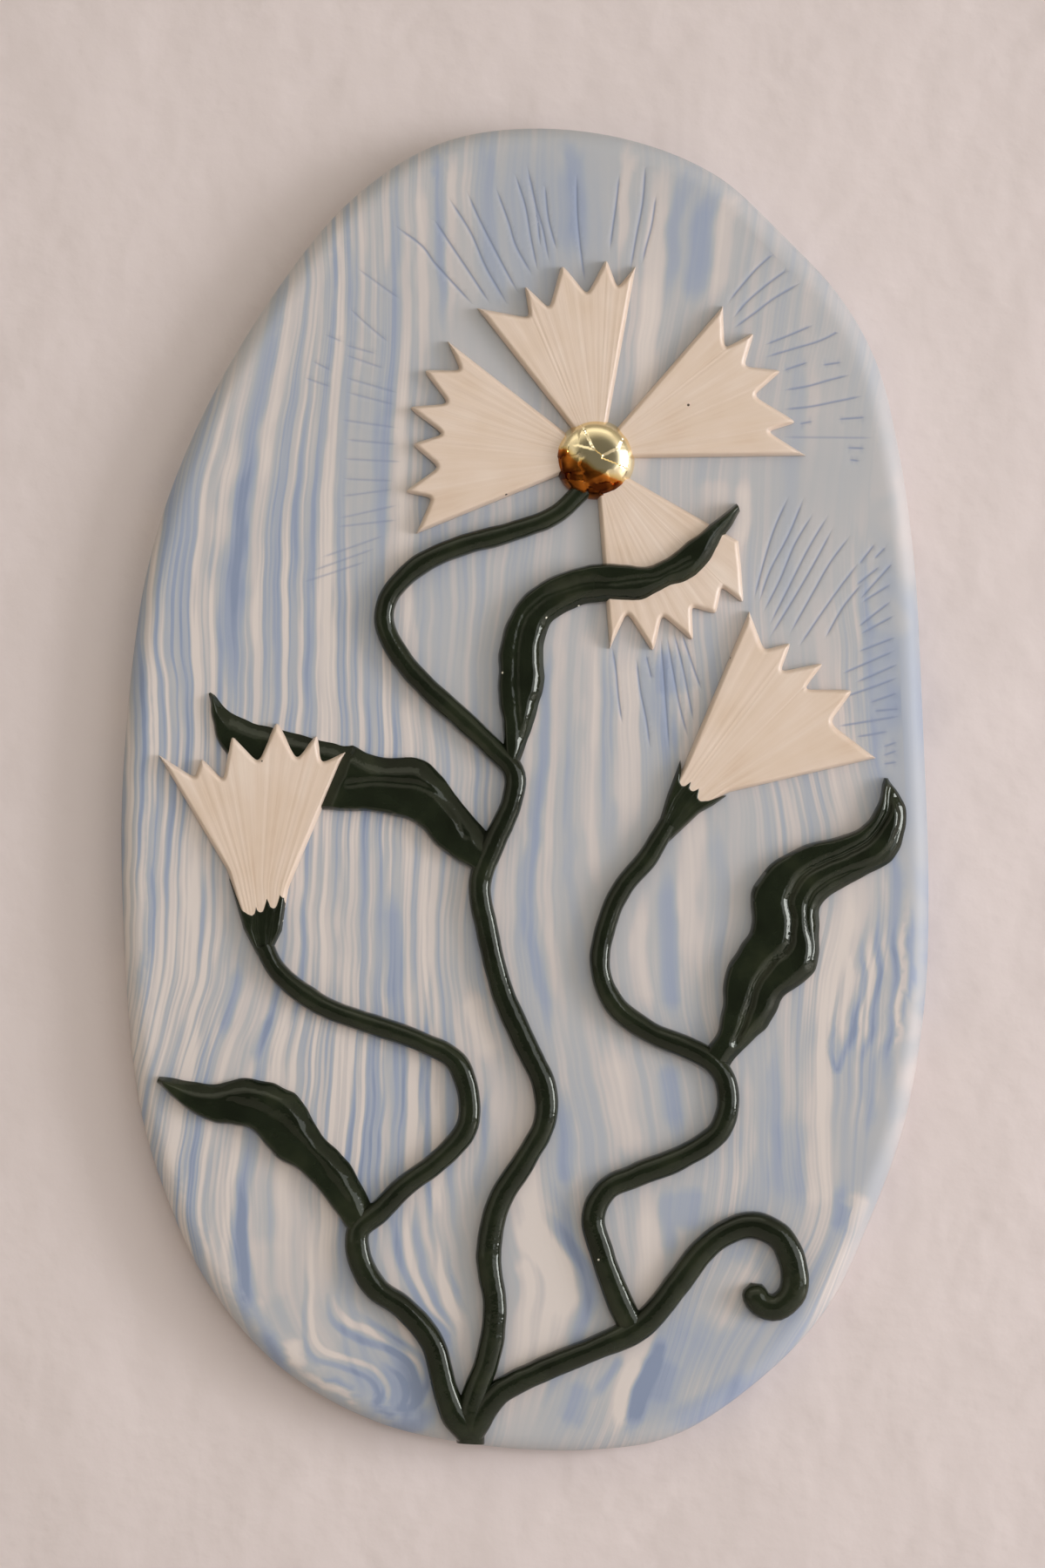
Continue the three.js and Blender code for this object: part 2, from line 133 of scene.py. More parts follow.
# Marbled porcelain: coloured clays rolled and folded together, then glazed clear with a satin skin. The eye gets crisp
# flowing stripes of blue and cream that mirror hardly anything, and the scratches painted darker blue grey, a painted
# shade in the grooves.
marble = {
    "clays": [(0.08, "#cbc1ba"), (0.26, "#bdb5b1"), (0.42, "#a9a9aa"), (0.56, "#9ca1aa"), (0.74, "#8f98aa"),
              # the painted shade in the scratches: its colour, and how fully it covers them
              (0.95, "#7e899f")],
    "scratchShade": "#79839a", "scratchShadeCover": 0.85,
    # stripes about 1.6 mm and 0.6 mm apart: to the mm, where their soft edges start and end, and how strong they are
    "stripes": [(0.42, 0.4, 0.6, 0.34), (1.3, 0.38, 0.62, 0.2)],
    "drift": 16.0,  # how much a stripe changes in a metre of its length, against 1000 across
    "clouds": 38.0, "cloudCover": 0.16,  # clouds of colour about 26 mm across
}


def marbledPorcelain():
    tree, shader, material = newMaterial("marbled_porcelain_satin_glaze", Roughness=0.5, IOR=1.4)
    coords = addNode(tree, "TexCoord").outputs["Object"]
    up = addNode(tree, "SeparateXYZ", {0: coords}).outputs["Z"]
    stripe, tone, fine, stroke = [addNode(tree, "Attribute", attribute_name=name).outputs["Fac"]
                                  for name in ("stripe", "tone", "fine", "stroke")]
    # the thin stripes are drawn out along the marbling
    drawnOut = addNode(tree, "Math", {0: up, 1: marble["drift"]}, operation="MULTIPLY").outputs[0]
    streak = addNode(tree, "CombineXYZ", {"X": stripe, "Y": drawnOut}).outputs[0]
    edged = []
    for scale, low, high, strength in marble["stripes"]:
        source = {"Vector": streak, "Scale": scale, "Detail": 0.5, "Roughness": 0.5}
        thin = addNode(tree, "TexNoise", source).outputs["Fac"]
        edges = {"Value": thin, "From Min": low, "From Max": high, "To Min": -0.5 * strength, "To Max": 0.5 * strength}
        edged.append(addNode(tree, "MapRange", edges, interpolation_type="SMOOTHSTEP").outputs["Result"])
    centred = addNode(tree, "Math", {0: edged[0], 1: edged[1]}, operation="ADD").outputs[0]
    striped = addNode(tree, "Math", {0: centred, 1: fine, 2: tone}, operation="MULTIPLY_ADD").outputs[0]
    cloud = addNode(tree, "TexNoise", {"Vector": coords, "Scale": marble["clouds"], "Detail": 2.0}).outputs["Fac"]
    veil = marble["cloudCover"]
    clouded = addNode(tree, "Math", {0: cloud, 1: veil, 2: striped}, operation="MULTIPLY_ADD").outputs[0]
    shifted = addNode(tree, "Math", {0: clouded, 1: veil / 2}, operation="SUBTRACT").outputs[0]
    colour = addNode(tree, "ValToRGB", {0: shifted}, stops=marble["clays"]).outputs[0]
    # painted shade: the scratches are coloured darker blue grey as deep as they are cut
    cover = addNode(tree, "Math", {0: stroke, 1: marble["scratchShadeCover"]}, operation="MULTIPLY").outputs[0]
    scratchShaded = addNode(tree, "Mix", {"Factor": cover, 6: colour, 7: linear(marble["scratchShade"])}, data_type="RGBA").outputs[2]
    tree.links.new(scratchShaded, shader.inputs["Base Color"])
    # the finest stripes stand a hair proud under the glaze
    bump = addNode(tree, "Bump", {"Height": thin, "Strength": 0.12, "Distance": 0.0001}).outputs[0]
    tree.links.new(bump, shader.inputs["Normal"])
    return material


# Cream porcelain: unstained clay, combed while soft and thinly glazed. The eye gets fine ridges that run from root to
# rim with streaks of the clay's own colour, painted paler on the crests as a painted highlight and warmer in the
# hollows as a painted shade, broad warm clouds under a soft gloss, and a few dark specks.
creamClay = {
    # painted light: paler on the comb crests, a painted highlight, and warmer in the hollows, a painted shade
    "creamsWithRibLight": [(0.0, "#c7af99"), (0.3, "#ceb9a5"), (0.6, "#d1bdab"), (1.0, "#d7c6b6")],  # from hollows to crests
    "combMarks": (15.0, 0.8, 1.0),  # across the piece, and along it
    "clouds": 75.0, "cloudCover": 0.9,  # about 13 mm across, and their weight against the comb marks
    "contrast": (0.66, 1.26),  # the two together, from the darkest cream to the palest
    "specks": 120.0, "speckSize": 0.036, "speckColour": "#3a2a1c",  # 8 mm cells, and the specks' share of them
}


def creamPorcelain():
    tree, shader, material = newMaterial("cream_porcelain_glazed", Roughness=0.36, IOR=1.5,
                                         Coat_Weight=0.15, Coat_Roughness=0.2)
    coords = addNode(tree, "TexCoord").outputs["Object"]
    grain = addNode(tree, "UVMap", uv_map="grain").outputs["UV"]
    fanned = addNode(tree, "Mapping", {"Vector": grain, "Scale": creamClay["combMarks"]}).outputs[0]
    marks = {"Vector": fanned, "Scale": 1.0, "Detail": 4.0, "Roughness": 0.65}
    combed = addNode(tree, "TexNoise", marks).outputs["Fac"]
    cloud = addNode(tree, "TexNoise", {"Vector": coords, "Scale": creamClay["clouds"], "Detail": 2.0}).outputs["Fac"]
    both = addNode(tree, "Math", {0: cloud, 1: creamClay["cloudCover"], 2: combed}, operation="MULTIPLY_ADD").outputs[0]
    low, high = creamClay["contrast"]
    spread = addNode(tree, "MapRange", {0: both, 1: low, 2: high}).outputs[0]
    # the comb marks' crests are painted paler and their hollows warmer: painted highlight and painted shade over the
    # clay's own streaks
    colour = addNode(tree, "ValToRGB", {0: spread}, stops=creamClay["creamsWithRibLight"]).outputs[0]
    cells = addNode(tree, "TexVoronoi", {"Vector": coords, "Scale": creamClay["specks"]}).outputs["Distance"]
    speck = addNode(tree, "Math", {0: cells, 1: creamClay["speckSize"]}, operation="LESS_THAN").outputs[0]
    dark = linear(creamClay["speckColour"])
    dotted = addNode(tree, "Mix", {"Factor": speck, 6: colour, 7: dark}, data_type="RGBA").outputs[2]
    tree.links.new(dotted, shader.inputs["Base Color"])
    bump = addNode(tree, "Bump", {"Height": combed, "Strength": 0.35, "Distance": 0.00025}).outputs[0]
    tree.links.new(bump, shader.inputs["Normal"])
    return material


# Dark green lead glaze, brushed on thick and run together. The eye gets a nearly black gloss, a little browner where it
# is thin, with sharp small reflections that brush marks break up, and pale dots that are pinholes and painted glints.
greenCoat = {
    "greens": [(0.35, "#14180f"), (0.55, "#1b2015"), (0.75, "#272b1d")],  # from pooled to thin
    "patches": 110.0,  # about 9 mm across
    # pale dots: pinholes in the glaze, and painted glints
    "pinholeGlints": 150.0, "pinholeGlintSize": 0.036, "pinholeGlintColour": "#d9d3c2",  # up to 0.5 mm wide, in 7 mm cells
    "brushMarks": 480.0,  # about 2 mm apart
}


def greenGlaze():
    tree, shader, material = newMaterial("dark_green_lead_glaze", Roughness=0.07, IOR=1.5,
                                         Specular_Tint=linear("#e4e6d8"))
    coords = addNode(tree, "TexCoord").outputs["Object"]
    pooled = addNode(tree, "TexNoise", {"Vector": coords, "Scale": greenCoat["patches"], "Detail": 3.0}).outputs["Fac"]
    colour = addNode(tree, "ValToRGB", {0: pooled}, stops=greenCoat["greens"]).outputs[0]
    # painted glints: pale dots scattered on the glaze, which also stand for pinholes
    cells = addNode(tree, "TexVoronoi", {"Vector": coords, "Scale": greenCoat["pinholeGlints"]}).outputs["Distance"]
    pinholeGlint = addNode(tree, "Math", {0: cells, 1: greenCoat["pinholeGlintSize"]}, operation="LESS_THAN").outputs[0]
    pale = linear(greenCoat["pinholeGlintColour"])
    dotted = addNode(tree, "Mix", {"Factor": pinholeGlint, 6: colour, 7: pale}, data_type="RGBA").outputs[2]
    tree.links.new(dotted, shader.inputs["Base Color"])
    marks = {"Vector": coords, "Scale": greenCoat["brushMarks"], "Detail": 2.0, "Roughness": 0.6}
    brushed = addNode(tree, "TexNoise", marks).outputs["Fac"]
    bump = addNode(tree, "Bump", {"Height": brushed, "Strength": 0.22, "Distance": 0.00035}).outputs[0]
    tree.links.new(bump, shader.inputs["Normal"])
    return material


# Gold lustre: a film of gold, brushed on the glaze and fired. The eye gets warm metal reflections, pale gold where the
# crumpling is slight, and painted orange brown to dark on the crumpled lower left, on tilted facets and in folds, a
# painted shade for dim reflections.
lustre = {
    # from pale gold to the dark brown of the painted shade
    "goldsAndShades": [(0.2, "#fdebc0"), (0.45, "#eccb85"), (0.6, "#c8752a"), (0.92, "#52260c")],
    "patches": 300.0, "patchiness": 0.5,  # about 3 mm across
}


def goldLustre():
    tree, shader, material = newMaterial("gold_lustre", Roughness=0.24, Metallic=1.0)
    tone = addNode(tree, "Attribute", attribute_name="tone").outputs["Fac"]
    coords = addNode(tree, "TexCoord").outputs["Object"]
    patchy = addNode(tree, "TexNoise", {"Vector": coords, "Scale": lustre["patches"], "Detail": 2.0}).outputs["Fac"]
    # painted light and shade: the tone attribute darkens the crumpled side, tilted facets and folds
    lustreAndShade = addNode(tree, "Math", {0: patchy, 1: lustre["patchiness"], 2: tone}, operation="MULTIPLY_ADD").outputs[0]
    colour = addNode(tree, "ValToRGB", {0: lustreAndShade}, stops=lustre["goldsAndShades"]).outputs[0]
    tree.links.new(colour, shader.inputs["Base Color"])
    return material


slabLook, creamLook, greenLook, goldLook = marbledPorcelain(), creamPorcelain(), greenGlaze(), goldLustre()
print("materials ready")


def finishPiece(name, bm, look, slotName, *nodes):
    bm.transform(standUp)
    bmesh.ops.recalc_face_normals(bm, faces=bm.faces[:])
    mesh = bpy.data.meshes.new(name)
    bm.to_mesh(mesh)
    bm.free()
    mesh.shade_smooth()
    mesh.set_sharp_from_angle(angle=math.radians(plaque["sharpAngle"]))
    piece = bpy.data.objects.new(name, mesh)
    bpy.context.scene.collection.objects.link(piece)
    piece.data.materials.append(look)
    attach(piece, "root")
    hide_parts(*nodes)
    return piece


# How far the rounded front edge lies below the flat of the face
def faceFall(points):
    inward = nearest(points, ovalLine)[0]
    a = np.clip(1 - inward / slab["reach"], 0, 1)
    return slab["depth"] * (1 - np.sqrt(1 - a * a))


# A skin over the face: a grid bent to a shape, with its rim drawn down into the slab and closed below.
# shape takes shares across and along, and gives places in mm and heights over the face.
def skin(columns, rows, shape, unevenness=0.0):
    bm = bmesh.new()
    bmesh.ops.create_grid(bm, x_segments=columns, y_segments=rows, size=1)
    shares = np.array([v.co[:2] for v in bm.verts]) / 2 + 0.5
    places, heights, shares = shape(shares[:, 0], shares[:, 1])
    places = places + [unevenness * noise.noise_vector(Vector((x, y, 0)) * plaque["lumps"]).xy for x, y in places]
    layer = bm.loops.layers.uv.new("grain")
    for v, spot, height in zip(bm.verts, places, heights):
        v.co = (*spot, plaque["thickness"] + height)
    for face in bm.faces:
        for loop in face.loops:
            loop[layer].uv = shares[loop.vert.index]
    made = bmesh.ops.extrude_edge_only(bm, edges=[e for e in bm.edges if e.is_boundary])["geom"]
    feet = [v for v in made if isinstance(v, bmesh.types.BMVert)]
    for v, fall in zip(feet, faceFall(np.array([v.co[:2] for v in feet]))):
        v.co.z = plaque["thickness"] - fall - plaque["seat"]
    bmesh.ops.holes_fill(bm, edges=[e for e in bm.edges if e.is_boundary], sides=0)
    return bm


slab = {
    "reach": 5.0, "depth": 4.0,  # how far the rounded front edge reaches in, and how far it falls
    "backEdge": 1.2, "rolled": 0.12,  # the back edge's rounding, and the unevenness of the rolled face
    "recess": (26.0, 12.0, 6.0, 44.0),  # width, height, depth, and how far its roof is below the top
    "recessCorner": 1.5,
    "strokeDepth": 0.14, "strokeHalf": 0.42, "strokeStep": 0.7,
    "rim": 420,  # points round the edge
    "across": 0.6, "along": (1.3, 0.7), "swirls": -92.0,  # the face's points, with closer rows below the swirls' height
    "loops": (-60.0, -17.0, -147.0, -94.0, 0.42),  # left, right, low and high of the closest points, and their spacing
    "slender": 1.6,  # about height against width, used to tell what lies on the flat of the face
}
outlinePlaces = [
    [-0.6, 100], [-22.2, 97.5], [-43.4, 89], [-64.3, 73.1], [-82.4, 53.4], [-93.5, 33.6], [-99.1, 7.4],
    [-100, -12.4], [-96.3, -45.2], [-90.1, -59.7], [-78.7, -74.8], [-60.9, -87.4], [-37.2, -95.7],
    [-11, -99.3], [16.6, -100], [37, -97.8], [59.6, -88.6], [75.3, -78.1], [85.6, -64.9], [94, -50.5],
    [99.1, -32.1], [100, -12.4], [98.7, 7.4], [96.6, 33.6], [92.5, 51.6], [86.9, 64.9], [77.6, 74.9],
    [64.1, 83.7], [47.7, 92.8], [25.2, 98.4]]
# Where the marbling runs: at each height, where eleven of its lines cross it, and their names at middle height
stripeLines = {
    100.7: [-89.3, -72.8, -57.7, -42.9, -26.6, -6, 19.8, 41.8, 61, 79, 96.7],
    88.8: [-89, -71.7, -56.9, -43.1, -27.3, -7.3, 21, 41.7, 59.7, 77.2, 94.8],
    77: [-89.6, -71.1, -55.3, -42.6, -26.4, -4.8, 20.3, 39.1, 56.8, 74.4, 92.2],
    65.2: [-92.4, -73.6, -57.6, -43.1, -26.2, -2.7, 18.7, 35.5, 53.2, 71.1, 89.3],
    53.4: [-97.1, -77.9, -61.1, -44.3, -27.1, -2.5, 17.4, 32.9, 50, 68.1, 86.7],
    41.5: [-102.4, -82.6, -63.8, -45.2, -28.1, -3.2, 17.9, 32.1, 48.1, 66, 84.9],
    29.7: [-105, -84.3, -64.8, -45.3, -28.3, -5.3, 16.4, 31.2, 47.5, 65.5, 84.4],
    17.9: [-104.8, -83.8, -64.8, -45.6, -28.9, -7.2, 14, 30.6, 49.3, 67.2, 85],
    6: [-104.2, -84, -64.9, -45.7, -27.4, -7, 12.7, 31.3, 50.8, 69.1, 86.4],
    -5.8: [-104.1, -84.8, -65.3, -47.1, -27.9, -7.8, 12.3, 32, 52, 73.1, 90.6],
    -17.6: [-104, -85.5, -66.4, -47.6, -29.1, -9, 13, 32.9, 52.2, 73.1, 91.1],
    -29.4: [-105.1, -87, -68.9, -47.7, -29.1, -8, 14.5, 33.4, 50.5, 70.4, 88.9],
    -41.3: [-108.9, -91.9, -74.7, -51, -28.6, -4.4, 17.4, 37.9, 52.8, 69.4, 88.3],
    -53.1: [-113.2, -96.9, -78.4, -52.2, -29.1, -4.2, 20.9, 41.2, 53.2, 68.8, 85.6],
    -64.9: [-115.2, -98.9, -80.3, -53.2, -29.7, -2.6, 23.5, 39.6, 51.6, 70.1, 83.2],
    -76.7: [-114.1, -96.3, -76.5, -52.8, -28.2, 2.2, 25.3, 36.8, 44.2, 60.3, 76.1],
    -88.6: [-110.8, -90.7, -68, -42.4, -21.9, -1, 19.8, 31.3, 37.8, 49.3, 66.9],
    -100.4: [-107.4, -86, -63, -39.9, -22.3, -6.3, 11.7, 25, 32, 44, 60.5],
}
stripeNames = [-103.9, -84.5, -65.2, -45.8, -26.5, -7.1, 12.3, 31.6, 51, 70.3, 89.7]
# Each stripe of coloured clay: how blue (or cream, below zero) it is, its half width in mm, and its course
stripes = [
    # the first six are broad soft blue patches near the top, the bottom and the lower sides, a painted shade for the
    # light falling off towards the face's edges
    (2.4, 14, (3, 99), (4, 80), (6, 72)), (3.2, 13, (38, -88), (58, -80), (68, -72)), (1.8, 10, (37, 92), (40, 75)),
    (2, 12, (-88, -50), (-72, -70), (-52, -86)), (1.6, 10, (84, -30), (82, -50), (72, -70)), (2, 9, (-50, -88),
     (-30, -92)),
    (6, 2, (-59.5, 76.5), (-67.8, 54.4), (-73.2, 28.6), (-72, 13.9)),
    (-5, 1.2, (-28.4, 94.9), (-29.7, 65.4), (-30.8, 50.7), (-28.4, 25), (-25.4, -8.1), (-25.7, -22.9),
     (-25.7, -30.2), (-27.8, -48.6), (-29.5, -74.4)),
    (-6, 1.6, (-70.6, 65.4), (-78.7, 39.7), (-79.5, 21.3), (-79.3, 6.6), (-81.3, -15.5), (-83, -33.9)),
    (-6, 2.6, (29.8, -59.7), (30.9, -67), (30.6, -74.4), (27.2, -85.4), (21, -96.5)),
    (4, 1.4, (81.5, 39.7), (83.3, 32.3), (84.7, 10.2), (86.2, 2.9), (91.3, -19.2), (88.7, -33.9), (89.7, -41.3),
     (90.6, -52.3)),
    (-5, 2.8, (-47.2, -11.8), (-47.4, -26.5), (-48.5, -37.6), (-49.9, -63.3), (-51.2, -70.7), (-50.9, -78.1)),
    (6, 1.2, (6.5, 21.3), (5.7, 13.9), (0.6, -19.2), (3.8, -30.2), (5.8, -37.6)),
    (-4, 1.4, (-45.4, 87.5), (-45, 69.1), (-46.2, 61.8), (-49.3, 28.6), (-48.8, 13.9), (-48.9, -11.8)),
    (-6, 2.2, (35.3, 94.9), (31.7, 80.2), (29.5, 61.8), (28.4, 47)),
    (6, 1.2, (-56.8, -19.2), (-64.4, -41.3), (-70.3, -67), (-69.9, -74.4), (-68.4, -81.7)),
    (-6, 1.8, (-75, -15.5), (-83.1, -37.6), (-87.8, -52.3), (-90.4, -59.7)),
    (6, 1, (-95.3, 21.3), (-93.5, 10.2), (-93.4, -22.9), (-96.5, -33.9)),
    (-5, 2.8, (0, -44.9), (2.1, -63.3), (9, -74.4), (0.3, -96.5)),
    (4, 1, (-39.5, 21.3), (-39.6, 10.2), (-39.6, -8.1), (-39.7, -26.5), (-39.8, -52.3), (-43.7, -74.4), (-33.1, -96.5)),
    (-4, 3.5, (-52.2, -11.8), (-52.4, -26.5), (-58.7, -41.3), (-60.1, -74.4)),
    (-4, 3.2, (72.9, 28.6), (78.9, -0.8), (81.9, -22.9), (79.8, -33.9), (79.6, -41.3)),
    (6, 1.2, (7.2, -59.7), (14.4, -78.1), (4.7, -92.8)),
    (-4, 3.5, (-50.5, -26.5), (-54.9, -41.3), (-55.1, -44.9), (-56.9, -63.3), (-56, -70.7), (-54.5, -78.1),
     (-39.5, -92.8)),
    (-4, 2.6, (-6.4, -37.6), (-3.6, -56), (4, -78.1), (-4.3, -96.5)), (6, 2.4, (45.9, 91.2), (43.2, 80.2),
     (41.8, 72.8)),
    (5, 1.4, (-31, 94.9), (-34.1, 61.8), (-35.6, 47), (-34.5, 32.3)), (-5, 2.4, (24.7, 21.3), (24.8, 10.2), (25, -8.1)),
    (6, 2.4, (-67.1, 50.7), (-70.8, 25)),
    (3, 1.2, (-47.3, 83.8), (-47.5, 80.2), (-50.9, 50.7), (-53.9, 32.3), (-54, 17.6), (-54.9, 10.2)),
    (-4, 3.4, (71.9, -37.6), (71.9, -48.6), (72.5, -59.7), (73.2, -63.3)),
    (-6, 2.4, (20.6, -37.6), (24.4, -48.6), (27.3, -56)), (-5, 2.4, (40.2, 10.2), (41.2, -8.1), (40.3, -15.5),
     (41, -33.9)),
    (-4, 1.2, (-55.8, 80.2), (-63.4, 54.4), (-67.8, 36), (-66.8, 17.6)),
    (-3, 3.9, (76.4, -33.9), (75.8, -52.3), (71.4, -70.7)),
    (-3, 1, (-86.9, 36), (-86.4, 17.6), (-85.3, 6.6), (-86.6, -15.5), (-90, -33.9), (-94.8, -48.6)),
    (-6, 2, (51.2, 91.2), (48.8, 83.8), (47.1, 72.8)),
    (2, 1.4, (-43.5, 87.5), (-43.2, 76.5), (-42.7, 69.1), (-44.5, 58.1), (-45.8, 39.7), (-44.2, 10.2)),
    (-6, 1, (-21.3, -44.9), (-21.3, -67), (-15.5, -85.4)),
    (-4, 1.4, (17, 25), (16.1, 21.3), (16.1, 13.9), (16.5, -8.1), (19.1, -15.5)),
    (5, 1.2, (-73.3, -19.2), (-79.1, -37.6), (-84, -56), (-86.9, -63.3)),
    (6, 2, (34, -11.8), (35.5, -19.2), (35.6, -30.2), (36.1, -33.9)), (-4, 2.8, (79.5, -15.5), (73.7, -37.6)),
    (6, 2.2, (34.4, 21.3), (34.2, 13.9), (35.4, 2.9)),
    (4, 1.2, (88.2, -15.5), (87.5, -22.9), (85.2, -33.9), (84.7, -48.6), (84.8, -52.3)),
    (6, 1.8, (-33.3, -15.5), (-32.1, -33.9)), (-3, 1.2, (11.6, 39.7), (7.7, 13.9), (4.2, -15.5), (7, -26.5),
     (10.9, -41.3)),
    (-6, 1.2, (-33.6, -41.3), (-34.7, -67), (-22.6, -96.5)), (6, 1.8, (10.2, -44.9), (10.2, -56), (11.2, -59.7)),
    (-6, 3.7, (56.5, -70.7), (45.1, -81.7)),
    (3, 0.6, (-42.7, -22.9), (-43.4, -52.3), (-45.7, -67), (-45, -81.7), (-35.9, -96.5)),
    (-2, 3.4, (-63.1, 72.8), (-70.5, 54.4), (-73.5, 43.4), (-76.5, 36)),
    (2, 2, (-9.9, 36), (-9.1, 21.3), (-10.4, 2.9), (-11.7, -0.8), (-13.7, -19.2), (-16.1, -30.2), (-14.1, -37.6)),
    (-4, 1.2, (-26.1, 91.2), (-25.4, 83.8), (-25.7, 61.8)), (-6, 1.6, (-1.6, -70.7), (0.6, -74.4), (-5.9, -96.5)),
    (6, 0.8, (-23.3, -26.5), (-24.5, -48.6), (-21.5, -78.1)), (6, 2.4, (-33.5, -81.7), (-24.4, -92.8)),
    (-2, 2, (98.1, -0.8), (96.4, -30.2), (96.5, -37.6), (94.4, -48.6)), (2, 1.6, (88.3, 36), (89.3, 28.6),
     (92.8, -0.8)),
    (3, 0.8, (-31.4, 13.9), (-31.9, 6.6), (-36.3, -22.9), (-36.3, -44.9), (-36.9, -59.7)),
    (6, 2.2, (35.8, -41.3), (36.1, -44.9), (37.6, -52.3)), (4, 1.4, (61.8, -37.6), (61.8, -52.3), (61.1, -63.3)),
    (3, 1.2, (70.1, -30.2), (68.6, -48.6), (67.9, -67)), (6, 2.8, (40.5, -59.7), (40.6, -67)),
    (6, 1, (-20.2, 98.6), (-21, 87.5), (-20.2, 69.1)), (4, 1.4, (40.6, 94.9), (37.7, 87.5), (35.1, 72.8)),
    (-4, 1.4, (54.9, -41.3), (55.2, -52.3), (52.8, -63.3)),
    (4, 1, (-66.5, -30.2), (-77.4, -59.7), (-78.3, -63.3), (-80.8, -70.7)), (6, 1.2, (-70.8, -26.5), (-74.3, -37.6)),
    (-5, 1.6, (29.6, -15.5), (28.3, -26.5), (30.5, -33.9)),
    (3, 1.2, (12.2, 13.9), (10.6, -0.8), (11.6, -15.5), (14.5, -26.5), (15.9, -33.9)),
    (6, 1.6, (34.7, -59.7), (35.5, -70.7)), (4, 1, (85.9, -15.5), (81.9, -33.9), (82.4, -41.3)),
    (-6, 2.2, (-13.1, -30.2), (-8.4, -41.3)), (4, 3.9, (39.1, -78.1), (30.2, -96.5)),
    (5, 1.6, (9.5, 98.6), (12.7, 91.2), (13.6, 80.2)), (3, 1.6, (-9, 98.6), (-8.6, 91.2), (-7.9, 80.2), (-5.4, 72.8)),
    (6, 2.4, (14.7, -89.1), (10.5, -96.5)), (5, 3.5, (36.8, 21.3), (36.5, 17.6), (37.3, 13.9)),
    (3, 1.2, (19.5, 21.3), (21.3, -11.8)), (3, 3.2, (65, -48.6), (66.6, -63.3)), (4, 3.7, (-32.7, -85.4),
     (-28.2, -96.5)),
    (5, 2.2, (30.7, -85.4), (25.5, -96.5)), (5, 4.3, (33.8, -85.4), (30.7, -92.8)),
    (-3, 1.4, (-29.6, 13.9), (-29.4, 6.6), (-31.6, -15.5)), (-2, 1.6, (70.6, 80.2), (69.9, 72.8), (70.4, 65.4),
     (70.5, 47)),
    (2, 1.4, (-83.8, -15.5), (-85, -30.2), (-91.5, -52.3)), (-6, 1.6, (54.8, 47), (52.7, 36)),
    (-3, 0.8, (-66.3, -26.5), (-74.7, -41.3), (-82.5, -63.3)),
    (-3, 1.2, (93.4, -8.1), (94.1, -15.5), (91.2, -33.9), (92.4, -44.9)), (-5, 1.2, (25.9, 98.6), (23.5, 80.2)),
    (-4, 3.4, (46.4, 47), (46.3, 43.4), (44.8, 25)),
    (-2, 1.6, (-36.9, 91.2), (-37.8, 87.5), (-37.8, 83.8), (-37.2, 76.5), (-40.5, 43.4)),
    (2, 1, (-54.8, 65.4), (-57.3, 58.1), (-61.3, 39.7), (-63.3, 25), (-63.3, 13.9)),
    (-3, 2, (92.9, 50.7), (94.3, 39.7), (94, 28.6)),
    (3, 0.6, (-29.9, -33.9), (-29.1, -41.3), (-29.8, -52.3), (-28, -67), (-27.3, -74.4)),
    (-3, 0.8, (-16.8, 98.6), (-18.5, 83.8), (-18.1, 69.1)), (5, 0.8, (-9, -44.9), (-12, -63.3)),
    (-4, 0.8, (-63.6, -30.2), (-72, -56), (-74.2, -70.7), (-73.1, -78.1)), (6, 1.8, (78.7, -59.7), (77.6, -67)),
    (3, 1.8, (9.2, 94.9), (11.3, 80.2)), (3, 0.8, (-44.7, -8.1), (-45.1, -22.9), (-46.4, -48.6), (-48.2, -67)),
    (2, 1.8, (67.6, 69.1), (66.8, 58.1), (65.4, 43.4), (64.1, 32.3), (66.3, 21.3)),
    (6, 0.8, (-54.7, -15.5), (-54.6, -26.5), (-59.6, -37.6)), (-2, 2.4, (-15.5, 94.9), (-15, 87.5), (-13.8, 69.1)),
    (3, 1.4, (46.4, -4.5), (48.5, -15.5), (47.5, -30.2)), (3, 0.8, (-90.2, -11.8), (-95.4, -41.3)),
    (-4, 0.8, (3.2, 13.9), (0.8, 6.6), (-1.3, -11.8)), (-3, 1.6, (79.9, -67), (74.3, -74.4), (68.9, -81.7)),
    (6, 1.2, (-63, -33.9), (-67.7, -41.3)), (-3, 4.1, (-64.6, -67), (-64.3, -78.1)),
    (3, 3.2, (-43.7, -85.9), (-32.9, -91.2), (-22.2, -91.2)),
    (8.5, 1.8, (-71.2, -58.6), (-70.5, -67.5), (-68.4, -75.2), (-65.4, -80.2), (-61.3, -85.9), (-56.1, -89.1)),
    (-6.8, 1.6, (-66.5, -76.3), (-64.9, -82.7)), (-8.5, 1.8, (-58.1, -82.7), (-56.1, -87.5)),
    (8.5, 0.8, (-48.8, -76.3), (-47.7, -80.2), (-41.5, -82.8), (-33.3, -84.6), (-28.2, -87.1), (-27.1, -90.9),
     (-29, -94.7), (-33.3, -96.1)),
    (8.5, 0.6, (-35.3, -86.5), (-31.2, -89.1), (-30.1, -92.2), (-33.3, -94.5), (-35.7, -92.8), (-35.1, -89.9)),
    (8.5, 1, (-41.5, -79), (-33.3, -82.8), (-27.1, -85.3), (-24.9, -89.1), (-27.1, -94.1)),
    (8.5, 1.6, (-43.7, -96.5), (-33.3, -97.1), (-24.9, -95.4), (-22.2, -92.5)),
    (6.8, 0.6, (-54, -64.9), (-54, -84), (-51.8, -85.9), (-45.6, -87.1), (-38.5, -89.1), (-36.3, -92.9),
     (-37.4, -95.4)),
